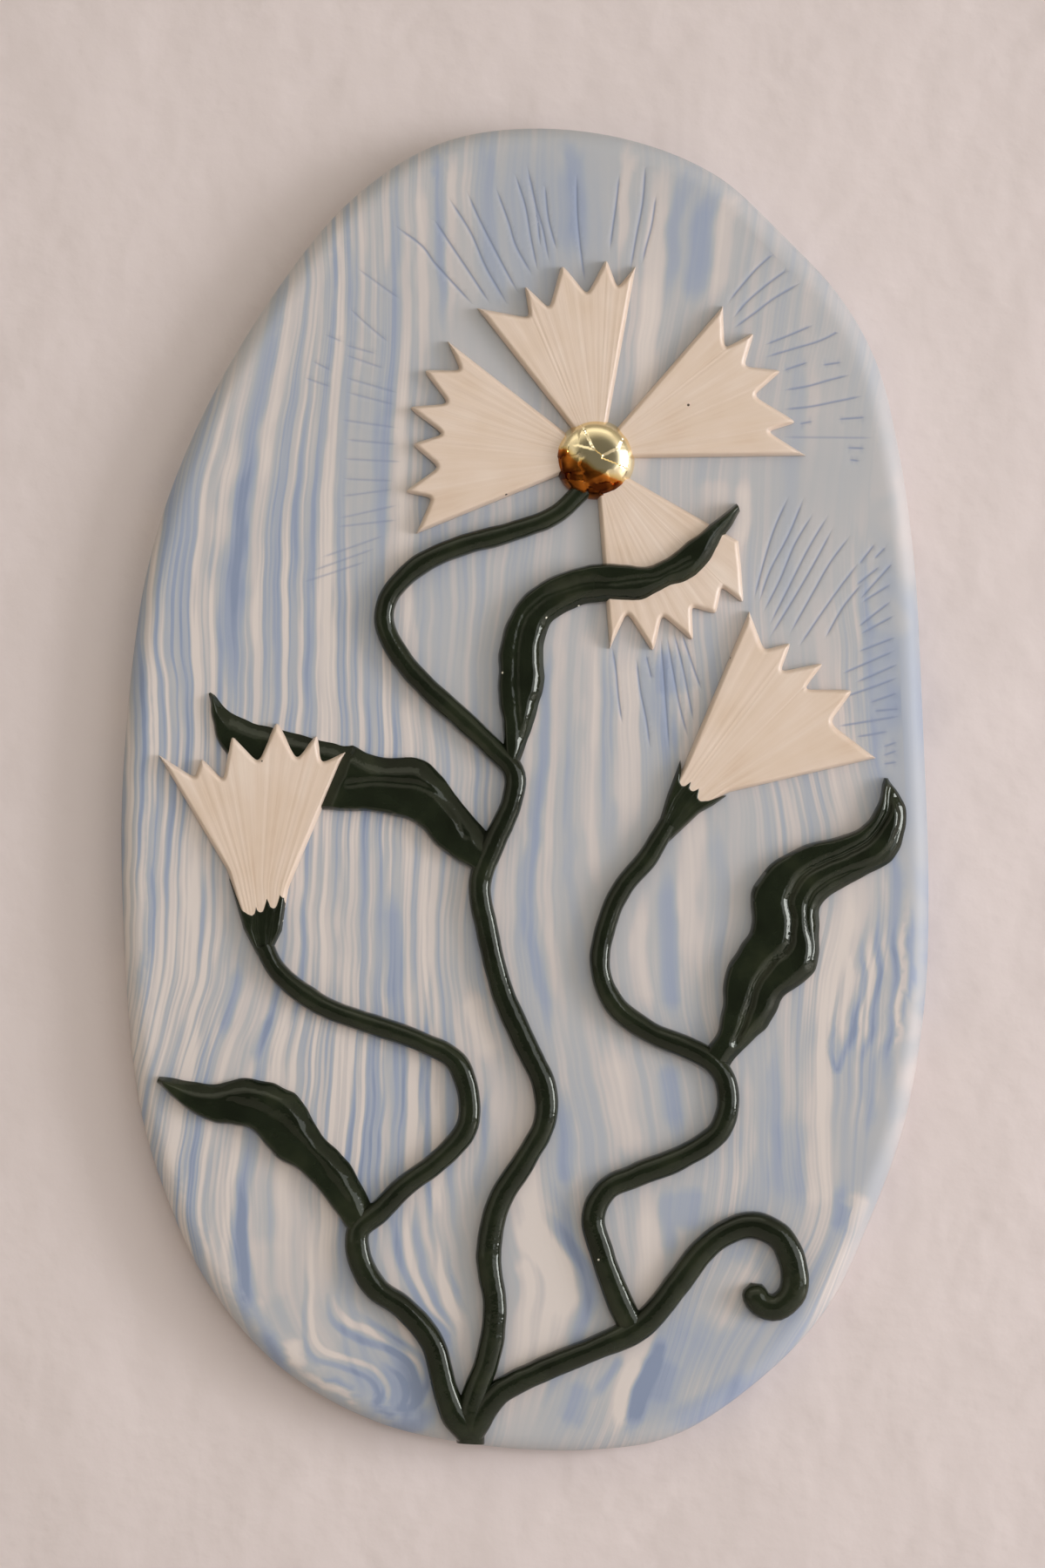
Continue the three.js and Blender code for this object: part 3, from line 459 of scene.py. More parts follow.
    (-8.5, 0.6, (-52.5, -64.9), (-52.5, -82), (-49.7, -84.6), (-43.7, -85.9), (-37.2, -87.5), (-34.2, -91.2),
     (-35.1, -94.1)),
    (-8.5, 0.8, (-55.5, -87.9), (-50.1, -89.9), (-43.7, -91.2), (-40.4, -94.5)),
    (6.8, 0.6, (-54, -90.1), (-48, -89.2), (-42.6, -91.2), (-41.1, -94.5)),
    (-8.5, 0.8, (-47.1, -76.7), (-44.5, -80), (-37.2, -82), (-29.5, -84.9), (-26, -87.9), (-25.6, -91.2)),
    (8.5, 0.8, (-32.3, -63.7), (-31.2, -70), (-27.1, -76.3), (-20.9, -81.5), (-17.6, -85.9)),
    (-6.8, 0.8, (-29.7, -62.9), (-28.6, -70), (-24.9, -76.3), (-19.4, -81.5)),
    (6.8, 0.8, (-27.1, -61.9), (-26, -70), (-22.8, -76.3), (-17.6, -82.1)),
    (-6.8, 1, (-24.3, -61), (-23.2, -68.9), (-20.4, -74.8), (-15.7, -80.7)),
    (6.8, 0.8, (-21.9, -59.9), (-20.9, -67.5), (-18.7, -73.2), (-14.6, -79)),
    (-8.5, 2.8, (-1.3, -65.2), (4.1, -69.3), (10.1, -74.1), (9, -79.8)),
    (6.8, 1.4, (4.1, -63.6), (10.8, -68.5), (16.3, -73.9), (15.1, -81.5)),
    (6.8, 1, (17.4, -92), (21.3, -87.9), (24.1, -85.5)), (10.2, 1.6, (26, -97.6), (28, -91.2), (32, -85.5),
     (33.3, -82.3)),
    (-8.5, 1.4, (22.8, -96.8), (24.9, -90.4), (28.2, -85.5)), (6.8, 2.8, (34.6, -96.1), (46.7, -92.8), (57.2, -88.7)),
    (-6.8, 2.4, (82.6, -61.1), (80, -63.6)),
    (8.5, 0.6, (78.5, -26.9), (75.9, -39.2), (77.2, -42.4), (79.8, -39.2), (83.9, -30.2)),
    (8.5, 0.6, (83.9, -22.9), (82.6, -32.7), (81.3, -39.2)), (8.5, 0.6, (87.7, -20.5), (86.5, -32.7), (83.9, -40.7)),
    (8.5, 0.6, (91.8, -19.7), (91.2, -32.7), (89.2, -40.7)), (6.8, 0.6, (95.9, -17.2), (95.1, -28.6), (93.1, -36.8)),
    (-6.8, 0.8, (80.6, -24.2), (79.4, -32.7), (78.1, -38.6)), (-6.8, 0.8, (85.8, -21.6), (84.5, -32.7), (82.6, -39.9)),
    (-6.8, 0.8, (89.7, -20.2), (88.8, -32.7), (86.5, -40.7)), (-6.8, 0.8, (94, -18.3), (93.1, -30.7), (91.2, -38.6)),
]
# Strokes scratched round the petals' tips: how deep, and their courses
strokes = [
    (1, (-31.8, 84.8), (-25.4, 81.9), (-22.4, 79.4), (-17.6, 76.2), (-13.1, 73.2)),
    (1, (-22.4, 85.8), (-19.1, 82.8), (-14.6, 78.7), (-9, 73.5)), (1, (-18.7, 89), (-13.5, 84), (-9.7, 78.7),
     (-4.5, 73.2)),
    (1, (-14.2, 89.9), (-11.2, 85.8), (-6, 79.6), (-1.9, 75)), (1, (-7.1, 90.5), (-4.1, 85.5), (-2.4, 82.1),
     (1.5, 77.8)),
    (1, (-2.4, 92.6), (0, 88), (1.5, 82.8), (3, 78.4)), (1, (1.1, 92.6), (2.6, 88), (3.7, 82.1)),
    (1, (0.6, 93.7), (2.4, 88.6), (4.3, 84.6), (5.8, 79.9)), (1, (4.9, 90.9), (5.8, 85.8), (7.7, 81.5)),
    (1, (12.7, 92.5), (12.9, 86.2), (14, 79.9), (14.8, 76.7)), (1, (23.2, 92.5), (22.6, 89), (21.5, 84.2),
     (20.9, 81.5)),
    (1, (29.7, 94.1), (29, 88.6), (27.3, 83), (26, 78.3)), (1, (32.3, 89.4), (31.2, 85), (29.7, 81.5), (29, 79.5)),
    (1, (62.6, 81.5), (57.4, 78.7), (53.5, 76), (50.3, 73.6)), (1, (65.2, 78.6), (59.4, 76), (54.2, 73.2),
     (51.6, 71.2)),
    (1, (67.7, 76.3), (61.3, 74), (56.1, 71.6), (51.6, 69.6)), (1, (71, 70), (65.2, 68.5), (59.4, 67.1)),
    (1, (78.7, 69.5), (72.9, 67.7), (66.5, 66.5), (59.4, 65.2)), (1, (69.7, 64.4), (63.9, 63.2)),
    (1, (78.1, 64.4), (73.5, 64)), (1, (80, 62.5), (75.5, 61.8), (69.7, 60.8), (63.9, 60.2)),
    (1, (83.2, 59.3), (76.8, 58.5), (70.3, 57.7), (63.9, 57.3)), (1, (83.9, 56.1), (77.4, 55.8)),
    (1, (71, 55.5), (67.7, 55.1)), (0.6, (85.8, 53), (63.9, 53.1)), (1, (83.9, 51.4), (79.4, 51.5)),
    (1, (82.6, 49.5), (80, 49.7)), (0.6, (-41.1, 78.4), (-31.4, 74.1)), (0.6, (-43, 72.3), (-38.9, 70), (-34, 67.5)),
    (0.6, (-44.1, 66.9), (-37, 65.7)), (0.6, (-44.1, 65.4), (-35.1, 63.5)), (0.6, (-44.1, 62), (-31.8, 59.8)),
    (0.6, (-43.7, 59.8), (-32.5, 58)), (0.6, (-45.2, 55.7), (-31.8, 54.5)), (0.6, (-44.1, 52.7), (-31.8, 52)),
    (0.6, (-44.7, 49.8), (-30.8, 49.4)), (0.6, (-44.7, 46.8), (-32.9, 46.5)), (0.6, (-45.2, 44.2), (-32.9, 45.2)),
    (0.6, (-45.8, 40.9), (-31.8, 42.8)), (0.6, (-46.2, 39.6), (-31.8, 40.6)), (0.6, (-50.1, 35), (-35.1, 38.2)),
    (0.6, (-52.3, 33), (-37.2, 36.3)), (0.6, (-54.4, 31.3), (-39.4, 34.3)), (0.6, (-54.2, 62), (-48.2, 60.7)),
    (0.6, (-52.3, 64.5), (-48.2, 63.2)), (0.6, (-49.2, 68.5), (-45.2, 67.5)),
    (1, (21.5, 21.3), (22.4, 17.9), (23, 13.9), (23.9, 10.1)), (1, (27.5, 19.6), (28.4, 15), (29.9, 10.4), (30.8, 6.4)),
    (1, (29.9, 20.1), (31.2, 16.7)), (1, (33.5, 22.5), (35.5, 6.4)),
    (1, (35.1, 22.7), (36.8, 16.7), (38.3, 12.1), (40.2, 7.9)), (1, (36.8, 23.5), (38.7, 18.9), (40.2, 14.5),
     (41.5, 10.4)),
    (1, (38.7, 23.5), (41.5, 18.4), (43.4, 15.2)), (1, (64.9, 43.9), (61.7, 39.6), (58.9, 34.2), (56.6, 28.9)),
    (1, (68.8, 43.9), (64.9, 38.2), (60.4, 32.9), (57.8, 28.3)), (1, (71, 41.5), (66.5, 36.9), (62.8, 31.5),
     (58.9, 26.8)),
    (1, (74.8, 41.3), (69.9, 36.3), (65.4, 30.9), (60.4, 24.8)), (1, (75.9, 39.3), (72, 34.8), (67.7, 30.2),
     (60.4, 22.9)),
    (1, (80.2, 38.2), (75.3, 34.2), (71, 29.6), (65.4, 23.5)), (1, (82.4, 34.2), (77.4, 30.2), (72, 25.5),
     (67.7, 21.6)),
    (1, (83, 30.9), (78.5, 27.5), (74.2, 22.9)), (1, (86.2, 36.9), (82.4, 33.9)), (1, (89, 36.5), (86.2, 34.8)),
    (1, (87.3, 33.5), (81.9, 30.9)), (1, (90.8, 34.2), (83, 28.9)), (1, (90.1, 30.9), (83.4, 28.3)),
    (1, (90.1, 28.3), (82.4, 24.6)), (1, (90.8, 26.1), (83, 23.5)), (1, (91.2, 22.9), (82.4, 20.8)),
    (1, (90.8, 20.8), (78.5, 17.5)), (1, (91.8, 18.8), (81.9, 16.2)), (1, (91.8, 16.8), (86.2, 15.5), (76.3, 13.4)),
    (1, (91.8, 14.5), (85.2, 13.1)), (1, (92.3, 12.1), (86.2, 11.8)), (1, (92.3, 11), (77.4, 9.5)),
    (1, (89.5, 8.7), (81.9, 7.9)), (1, (91.8, 7.1), (88.4, 6.4)), (1, (91.8, 5.8), (88.4, 5.1)),
    (1, (91.8, 4.1), (88.4, 3.8)),
]
ovalLine = spline(place(outlinePlaces), closed=True)
ovalLine = np.vstack([ovalLine, ovalLine[:1]])


# How the marbling waves and where it is finely striped
marbling = {
    "sway": [(1.1, 0.07, 0.035, 6.6), (0.5, 0.08, 0.13, 1.3)],  # mm to each side, waves to the mm each way, and seed
    "wave": (0.09, 0.13, 9.1), "patch": (0.055, 0.022, 2.2),  # waves to the mm across and up, and seed
    "ground": -5.0, "contrast": 2.2, "spread": 1.15,  # the clay between the stripes, and how strong and wide they are
    "steps": 52.0,  # from the creamiest to the bluest
    "middle": 0.3, "left": 0.75, "right": 0.5, "swirled": 0.85,  # how strong the thin stripes are in each part
}


# The stripe that a place lies on, in mm across where it passes the middle height
def stripeAt(points):
    across, up = points[:, 0] * 200 / plaque["width"], points[:, 1] * 200 / plaque["height"]
    heights = np.array(sorted(stripeLines))
    table = np.array([stripeLines[h] for h in heights])
    at = np.clip(np.searchsorted(heights, up) - 1, 0, len(heights) - 2)
    span = (heights[at + 1] - heights[at])[:, None]
    t = np.clip((up[:, None] - heights[at][:, None]) / span, 0, 1)
    tilt = np.gradient(table, heights, axis=0)
    lines = (table[at] * (2 * t**3 - 3 * t**2 + 1) + table[at + 1] * (3 * t**2 - 2 * t**3)
             + span * (tilt[at] * (t**3 - 2 * t**2 + t) + tilt[at + 1] * (t**3 - t**2)))
    stripe = np.array([np.interp(x, line, stripeNames) for x, line in zip(across, lines)]) * plaque["width"] / 200
    return stripe + [sum(size * noise.noise(Vector((x * a, y * b, seed))) for size, a, b, seed in marbling["sway"])
                     for x, y in points]


# A share that goes smoothly from 1 to 0 as a value passes an edge, or from 0 to 1
def below(values, edge, softness):
    return 1 / (1 + np.exp((values - edge) / softness))


def above(values, edge, softness):
    return below(-values, -edge, softness)


# How blue the clay is at each place, from 0, cream, to 1, blue, and how finely it is striped there
def toneAt(points):
    across, up, seed = marbling["wave"]
    waved = points + [(noise.noise(Vector((x * across, y * up, seed))), 0) for x, y in points]
    tone = np.full(len(points), marbling["ground"])
    for blue, half, *course in stripes:
        gap, share = nearest(waved, spline(place(course), samples=8), reach=half * 3)
        taper = np.clip(np.minimum(share, 1 - share) * 4.5 + 0.15, 0, 1)
        width = marbling["spread"] * half * (0.5 + 0.5 * taper)
        tone += marbling["contrast"] * blue * taper * np.exp(-(gap / width) ** 4)
    across, up, seed = marbling["patch"]
    patch = np.array([noise.noise(Vector((x * across, y * up, seed))) for x, y in points])
    # strong down the left and by the right edge, faint in the middle and towards the top, and none among the swirls
    x, y = points[:, 0], points[:, 1]
    fine = marbling["middle"] + marbling["left"] * below(x, -22, 7)
    fine += marbling["right"] * above(x, 62, 5) * below(y, 20, 12)
    fine *= np.clip(0.85 + 1.5 * patch, 0.15, 1.6) * (1.12 - 0.4 * above(y, 65, 12))
    fine *= 1 - marbling["swirled"] * below(y, -103, 4) * below(x, -12, 3) * above(x, -66, 4)
    return (tone + marbling["steps"] / 2) / marbling["steps"], fine


# The points that lie on the flat of the face, a margin inside the rounded edge
def onFace(points, inset, margin):
    angle, turn = [np.arctan2(p[:, 1] / slab["slender"], p[:, 0]) for p in (points, inset)]
    limit = np.interp(angle, turn, np.hypot(inset[:, 0], inset[:, 1] / slab["slender"]), period=2 * math.pi)
    return points[np.hypot(points[:, 0], points[:, 1] / slab["slender"]) < limit - margin]


# The face's points: its rim, staggered rows, a close grid among the loops of the swirls, and five rows along every
# stroke, so that the face folds down along it
def facePoints(inset, lines):
    side, top = math.ceil(plaque["width"] / 2), plaque["height"] / 2
    xs = np.arange(-side, side, slab["across"])
    ys = np.concatenate([np.arange(-top, slab["swirls"], slab["along"][1]),
                         np.arange(slab["swirls"], top, slab["along"][0])])
    lattice = np.array([(x + (k % 2) * slab["across"] / 2, y) for k, y in enumerate(ys) for x in xs])
    left, right, low, high, gap = slab["loops"]
    loops = [(x, y) for x in np.arange(left, right, gap) for y in np.arange(low, high, gap)]
    outer = ((lattice < (left, low)) | (lattice > (right, high))).any(1)
    lattice = onFace(np.vstack([lattice[outer], loops]), inset, 0.9)
    cut, rows, half = np.zeros(len(lattice)), [], slab["strokeHalf"]
    for _, line in lines:
        cut = np.maximum(cut, nearest(lattice, line, reach=1)[0] < half + 0.25)
        line = along(line, np.linspace(0, 1, int(lengths(line)[-1] / slab["strokeStep"]) + 2))
        side = np.gradient(line, axis=0)[:, ::-1] * (1, -1)
        side /= np.linalg.norm(side, axis=1)[:, None]
        count = np.arange(len(line))
        taper = np.clip(np.minimum(count, count[::-1]) / 3.0 + 0.15, 0, 1)
        rows += [line + side * (offset * half * (0.4 + 0.6 * taper))[:, None] for offset in (-1, -0.45, 0, 0.45, 1)]
    return np.vstack([inset, lattice[cut == 0], onFace(np.vstack(rows), inset, 0.4)])


# How deep each place is scratched, from 0 to 1
def scratched(places, lines):
    depth = np.zeros(len(places))
    for deep, line in lines:
        gap, share = nearest(places, line, reach=1)
        taper = np.clip(np.minimum(share, 1 - share) * 8 + 0.1, 0, 1)
        width = slab["strokeHalf"] * (0.4 + 0.6 * taper)
        depth = np.maximum(depth, deep * taper * np.clip(1 - gap / width, 0, 1))
    return depth


# The flat back, with a rounded recess whose roof rests on the head of a wall screw
def closeBack(bm, edges):
    wide, tall, deep, top = slab["recess"]
    upper, corner = plaque["height"] / 2 - top, slab["recessCorner"]
    pocket = [bm.verts.new((sx * (wide / 2 - corner) + corner * math.cos(a),
                            upper - tall / 2 + sy * (tall / 2 - corner) + corner * math.sin(a), 0))
              for sx, sy, start in ((1, 1, 0), (-1, 1, 90), (-1, -1, 180), (1, -1, 270))
              for a in np.radians(np.linspace(start, start + 90, 5))]
    pocketEdges = [bm.edges.new((a, b)) for a, b in zip(pocket, pocket[1:] + pocket[:1])]
    bmesh.ops.triangle_fill(bm, use_beauty=True, use_dissolve=False, edges=edges + pocketEdges)
    made = bmesh.ops.extrude_edge_only(bm, edges=pocketEdges)["geom"]
    for v in (g for g in made if isinstance(g, bmesh.types.BMVert)):
        v.co.z = deep
    bmesh.ops.contextual_create(bm, geom=[g for g in made if isinstance(g, bmesh.types.BMEdge)])


def buildSlab():
    oval = along(ovalLine, np.arange(slab["rim"]) / slab["rim"])
    outward = np.roll(oval, 1, axis=0) - np.roll(oval, -1, axis=0)
    outward = np.stack([-outward[:, 1], outward[:, 0]], -1) / np.linalg.norm(outward, axis=1)[:, None]
    inset = oval - outward * slab["reach"]
    lines = [(deep, along(spline(place(course)), np.linspace(0, 1, 90))) for deep, *course in strokes]
    coords = [Vector(p) for p in facePoints(inset, lines)]
    places, _, faces, source, *_ = geometry.delaunay_2d_cdt(coords, [], [list(range(slab["rim"]))], 1, 1e-5, True)
    places = np.array([tuple(p) for p in places])
    depth = scratched(places, lines)
    bm = bmesh.new()
    verts = [bm.verts.new((x, y, plaque["thickness"] + slab["rolled"] * noise.noise(Vector((x / 21, y / 28, 0)))
                           - slab["strokeDepth"] * d)) for (x, y), d in zip(places, depth)]
    for face in faces:
        bm.faces.new([verts[i] for i in face])
    edges = [e for e in bm.edges if e.is_boundary]
    rim = {v: min(i) for v, i in zip(verts, source) if i and min(i) < slab["rim"]}
    for v in rim:
        v.co.z = plaque["thickness"]
    # the rim is drawn out and down round the front edge, and in again round the back edge
    turns = np.radians(np.linspace(90, 0, 9)[1:])
    rings = [(slab["reach"] * (1 - math.cos(a)), plaque["thickness"] - slab["depth"] * (1 - math.sin(a)))
             for a in turns]
    back = slab["backEdge"]
    rings += [(0, 4.0), (0, back), (back * 0.3, back * 0.3), (back, 0)]
    for inwards, height in rings:
        made = bmesh.ops.extrude_edge_only(bm, edges=edges)["geom"]
        lookup = {tuple(round(c, 4) for c in v.co): i for v, i in rim.items()}
        rim = {v: lookup[tuple(round(c, 4) for c in v.co)] for v in made if isinstance(v, bmesh.types.BMVert)}
        for v, i in rim.items():
            v.co = (*(oval[i] - outward[i] * inwards), height)
        edges = [g for g in made if isinstance(g, bmesh.types.BMEdge)]
    closeBack(bm, edges)
    places = np.array([v.co[:2] for v in bm.verts])
    tone, fine = toneAt(places)
    # the scratch depth, which also sets the painted shade in the scratches
    stroke = np.concatenate([depth, np.zeros(len(places) - len(depth))])
    for key, numbers in {"stripe": stripeAt(places), "tone": tone, "fine": fine, "stroke": stroke}.items():
        layer = bm.verts.layers.float.new(key)
        for v, value in zip(bm.verts, numbers):
            v[layer] = value
    return finishPiece("marbledSlab", bm, slabLook, "marbled_porcelain", "slab")


slabPiece = buildSlab()
print("slab built,", len(slabPiece.data.polygons), "faces")

# Rolled coils of clay, laid on the slab and pressed flatter
stems = {
    "rise": 3.6, "rootWidth": 5.8, "tipWidth": 4.5, "tendrilRoot": 5.5, "tendrilTip": 6.4,
    "footWidth": 0.5, "footLength": 6.0,  # how much wider a stem is where it starts, and for how long
    "flank": 0.8, "crown": 0.55,  # lower is steeper at the sides, and flatter on top
    "sink": 0.6,  # how much of the slab's rounding a stem follows down
    "unevenness": 0.16, "step": 1.0, "columns": 16,
}
stemRoutes = {
    "middleStem": ("middle_stem", [
        [-13.5, -98.6], [-12.9, -92.5], [-8.8, -84.9], [-7.5, -78.1], [-9, -70.2], [-6.5, -62.3], [-0.4, -56.2],
        [4.9, -49.9], [4.7, -44.8], [0.2, -38.6], [-5.6, -30.6], [-9.2, -21.8], [-11.2, -14.3], [-8.2, -8.8],
        [-3.2, -1.6], [-2.8, 2.6], [-7.7, 6], [-15.5, 10.5], [-23.9, 15.1], [-30.5, 19.7], [-34.6, 24.6], [-34.2, 28.3],
        [-30.5, 31.5], [-24.9, 34.3], [-15.7, 36.7], [-2.8, 38.9], [7.3, 41.3], [14.8, 45.5]]),
    "leftStem": ("left_stem", [
        [-13.8, -96.9], [-17.4, -94.3], [-20, -89.9], [-22.8, -83.6], [-29.7, -78.3], [-36.8, -75.2], [-40.9, -70.6],
        [-41.1, -66.4], [-35.7, -63.5], [-30.3, -60.1], [-21.9, -56.2], [-14.8, -51.5], [-13.8, -46.9], [-17, -41.1],
        [-25.4, -38.1], [-37.2, -35.5], [-48, -33.2], [-55.7, -30.4], [-61.7, -26.9], [-64.4, -23.6]]),
    "tendrilBranch": ("tendril", [
        [-13.3, -96.9], [-7.1, -91.3], [4.3, -87.5], [17.4, -84.2], [28.8, -80.8], [37.2, -74.8], [43.7, -69.6],
        [49.7, -66.8], [56.1, -65.7], [62.6, -67.4], [66.2, -71.7], [65.8, -76.1], [61.7, -78.1], [57.8, -77.3],
        [55.7, -74.4]]),
    "rightStem": ("right_stem", [
        [26, -80.6], [23.4, -77.3], [19.1, -70.2], [16.8, -64.3], [20, -60.4], [27.3, -58.2], [39.1, -55.3],
        [48, -51.4], [50.1, -46.3], [47.5, -41.8], [40.9, -39.2], [30.5, -36.5], [22.2, -32.5], [18.5, -26.9],
        [20, -20.5], [23.9, -15], [30.3, -10.2], [35.2, -5.2]]),
}


def buildStem(name, node, route, rootWidth, tipWidth, roundEnd):
    line = spline(place(route))
    length = lengths(line)[-1]
    foot = 0 if name == "rightStem" else stems["footWidth"]  # the right stem starts on another's side

    def shape(u, v):
        middle = along(line, v)
        ahead = along(line, np.clip(v + 1e-3, 0, 1)) - along(line, np.clip(v - 1e-3, 0, 1))
        side = np.stack([ahead[:, 1], -ahead[:, 0]], -1) / np.linalg.norm(ahead, axis=1)[:, None]
        half = (rootWidth + (tipWidth - rootWidth) * v + foot * np.exp(-v * length / stems["footLength"])) / 2
        toEnd = (1 - v) * length
        ending = np.sqrt(np.clip(1 - (1 - np.clip(toEnd / half, 0, 1)) ** 2, 0, 1)) * 0.98 + 0.02 if roundEnd else 1
        angle = u * math.pi
        across = -np.sign(np.cos(angle)) * np.abs(np.cos(angle)) ** stems["flank"]
        crown = np.sin(angle) ** stems["crown"]
        wobble = 1 + 0.03 * np.sin(v * length / 7.3 + 1.1) + 0.02 * np.sin(v * length / 3.1)
        places = middle + side * (half * ending * across * wobble)[:, None]
        heights = stems["rise"] * crown * (0.25 + 0.75 * ending) - stems["sink"] * faceFall(middle)
        return places, heights, np.stack([u, v * length / 10], -1)

    coil = skin(stems["columns"], int(length / stems["step"]), shape, stems["unevenness"])
    return finishPiece(name, coil, greenLook, "green_glaze", node)


for name, (node, route) in stemRoutes.items():
    curl = node == "tendril"
    rootWidth, tipWidth = [stems[key] for key in (("tendrilRoot", "tendrilTip") if curl else ("rootWidth", "tipWidth"))]
    buildStem(name, node, route, rootWidth, tipWidth, curl)
print("stems built")

# Leaves of flattened clay: each has two edges from root to tip, how far in from each edge it slopes, grooves with their
# depth and half width, and how far it is lifted or sunk at shares of its length where it crosses another piece
leafForm = {"fall": 0.72, "softSide": 1.75, "steepSide": 2.4, "unevenness": 0.3, "columns": 36, "rows": 150}
leaves = {
    "topLeaf": {
        "node": "top_leaf", "rise": 3.3, "slopes": (0.9, 2.6),
        "edges": [
            [[-4.9, 4], [-5.6, 9.2], [-6.7, 15.2], [-5.4, 23.9], [-0.6, 29], [6.9, 32.1], [18.5, 34], [31.4, 33.8],
             [40.2, 37.3], [52, 43]],
            [[-2.4, 2.2], [2.6, 11], [4.7, 16.4], [4.5, 21.2], [6.7, 25.2], [16.3, 28.1], [28.4, 28.4],
             [35.9, 30.5], [42.4, 32.1], [52.9, 41.8]]],
        "grooves": [([[-1.1, 7.4], [-2.4, 16.6], [-1.1, 24.4], [3.7, 28.4], [12.3, 30.7], [25.2, 31.3],
            [33.8, 32.3], [40.2, 34.3]], 0.2, 0.8)],
        "lift": [(0.0, 0.0), (0.5, 0.0), (0.64, 1.4), (0.92, 1.4), (1.0, 0.4)],
    },
    "rightLeaf": {
        "node": "right_leaf", "rise": 3.4, "slopes": (0.9, 2.9),
        "edges": [
            [[43.2, -40.1], [47.5, -36.5], [49.9, -26.9], [55.7, -20.9], [55.9, -15.4], [60.6, -11.4], [68.8, -8.4],
             [77.8, -7.1], [82.8, -5.7], [86.9, -2.4], [88.8, 1.7]],
            [[48.7, -43.8], [52.3, -40.2], [60.6, -35.1], [63.9, -31.3], [71.4, -27.5], [72.7, -22.9],
             [72.9, -17.6], [81.9, -13.7], [91, -10.4], [94, -3.4], [89.7, 1.7]]],
        "grooves": [
            ([[52, -38], [54.8, -33.4], [57, -29.4], [60.6, -26.1], [64.5, -23.9], [65.6, -20.2], [64.9, -17],
             [66.5, -14.3], [69.2, -12.4], [73.5, -11], [78.9, -9.7], [84.3, -7.8], [88, -5.1], [89.7, -2.5],
             [90.1, 0.1]], 0.9, 0.8),
            ([[69.9, -26.8], [70.3, -22.9], [69.2, -18.9], [70.8, -15.6], [75.7, -13.4], [82.2, -11.7],
             [87.5, -10.4], [91.4, -7.1], [92.5, -3.8], [91.4, -1.2]], 0.5, 0.6)],
        "lift": [(0.0, 0.0), (1.0, 0.0)],
    },
    "upperLeftLeaf": {
        "node": "upper_left_leaf", "rise": 3.3, "slopes": (4.4, 0.9),
        "edges": [
            [[-7.4, -7.8], [-16.6, -1.4], [-20.6, 2.1], [-25.6, 4.5], [-36.5, 4.9], [-42.3, 6.6], [-58.5, 9.3],
             [-68.4, 10.8], [-73.3, 12.4], [-77.2, 14.7]],
            [[-10.9, -12.9], [-16.3, -11], [-21.5, -8.7], [-27.1, -5.1], [-37.5, -3.5], [-49.7, -3.1],
             [-58.6, -1.8], [-67.3, 1.7], [-75.5, 6.6], [-78.5, 14.3]]],
        "grooves": [([[-14.6, -7.1], [-17.8, -3.2], [-24.3, 0.1], [-32.9, 1.1], [-43.7, 0.8]], 0.3, 0.8)],
        "lift": [(0.0, 0.0), (0.54, 0.0), (0.575, -1.7), (1.0, -1.6)],
    },
    "lowerLeftLeaf": {
        "node": "lower_left_leaf", "rise": 3.3, "slopes": (3.4, 0.9),
        "edges": [
            [[-36.8, -64.1], [-43.4, -56.4], [-50.1, -52.2], [-55.5, -46.8], [-61.9, -44.4], [-69.5, -43.6],
             [-76.1, -44.4], [-81.9, -44.2], [-86.7, -43.6], [-90.3, -43.4]],
            [[-41, -68.6], [-48, -62.7], [-55.5, -57.6], [-61.9, -55.1], [-67.3, -51.5], [-72, -50.6], [-77, -50.2],
             [-81.9, -48.8], [-86.7, -46.5], [-90.8, -44.3]]],
        "grooves": [([[-44, -62], [-53, -54.5], [-62, -49.5], [-72, -47]], 0.2, 1.2)],
        "lift": [(0.0, 0.0), (1.0, 0.0)],
    },
}


def buildLeaf(name, leaf):
    first, second = [spline(place(edge)) for edge in leaf["edges"]]

    def shape(u, v):
        a, b = along(first, v, byLength=False), along(second, v, byLength=False)
        places = a + (b - a) * u[:, None]
        width = np.linalg.norm(b - a, axis=1)
        near = [nearest(places, edge[::4])[0] for edge in (first, second)]
        drop = 0
        for distance, slope in zip(near, leaf["slopes"]):
            reach = np.minimum(slope, width * 0.45) + 0.05
            t = 1 - np.clip(distance / reach, 0, 1)
            drop = np.maximum(drop, t ** leafForm["softSide" if slope > 1.5 else "steepSide"])
        heights = leaf["rise"] * (1 - leafForm["fall"] * drop)
        lift = np.interp(v, *zip(*leaf["lift"]))
        for route, depth, half in leaf["grooves"]:
            away = nearest(places, spline(place(route), samples=6))[0]
            heights = heights - depth * np.exp(-(away / half) ** 2) * (1 - drop)
        small = np.clip(width / 2.5, 0.25, 1)  # it thins out towards its point
        return places, heights * small + lift, np.stack([u, v * 8], -1)

    blade = skin(leafForm["columns"], leafForm["rows"], shape, leafForm["unevenness"])
    return finishPiece(name, blade, greenLook, "green_glaze", leaf["node"])


for name, leaf in leaves.items():
    buildLeaf(name, leaf)
print("leaves built")

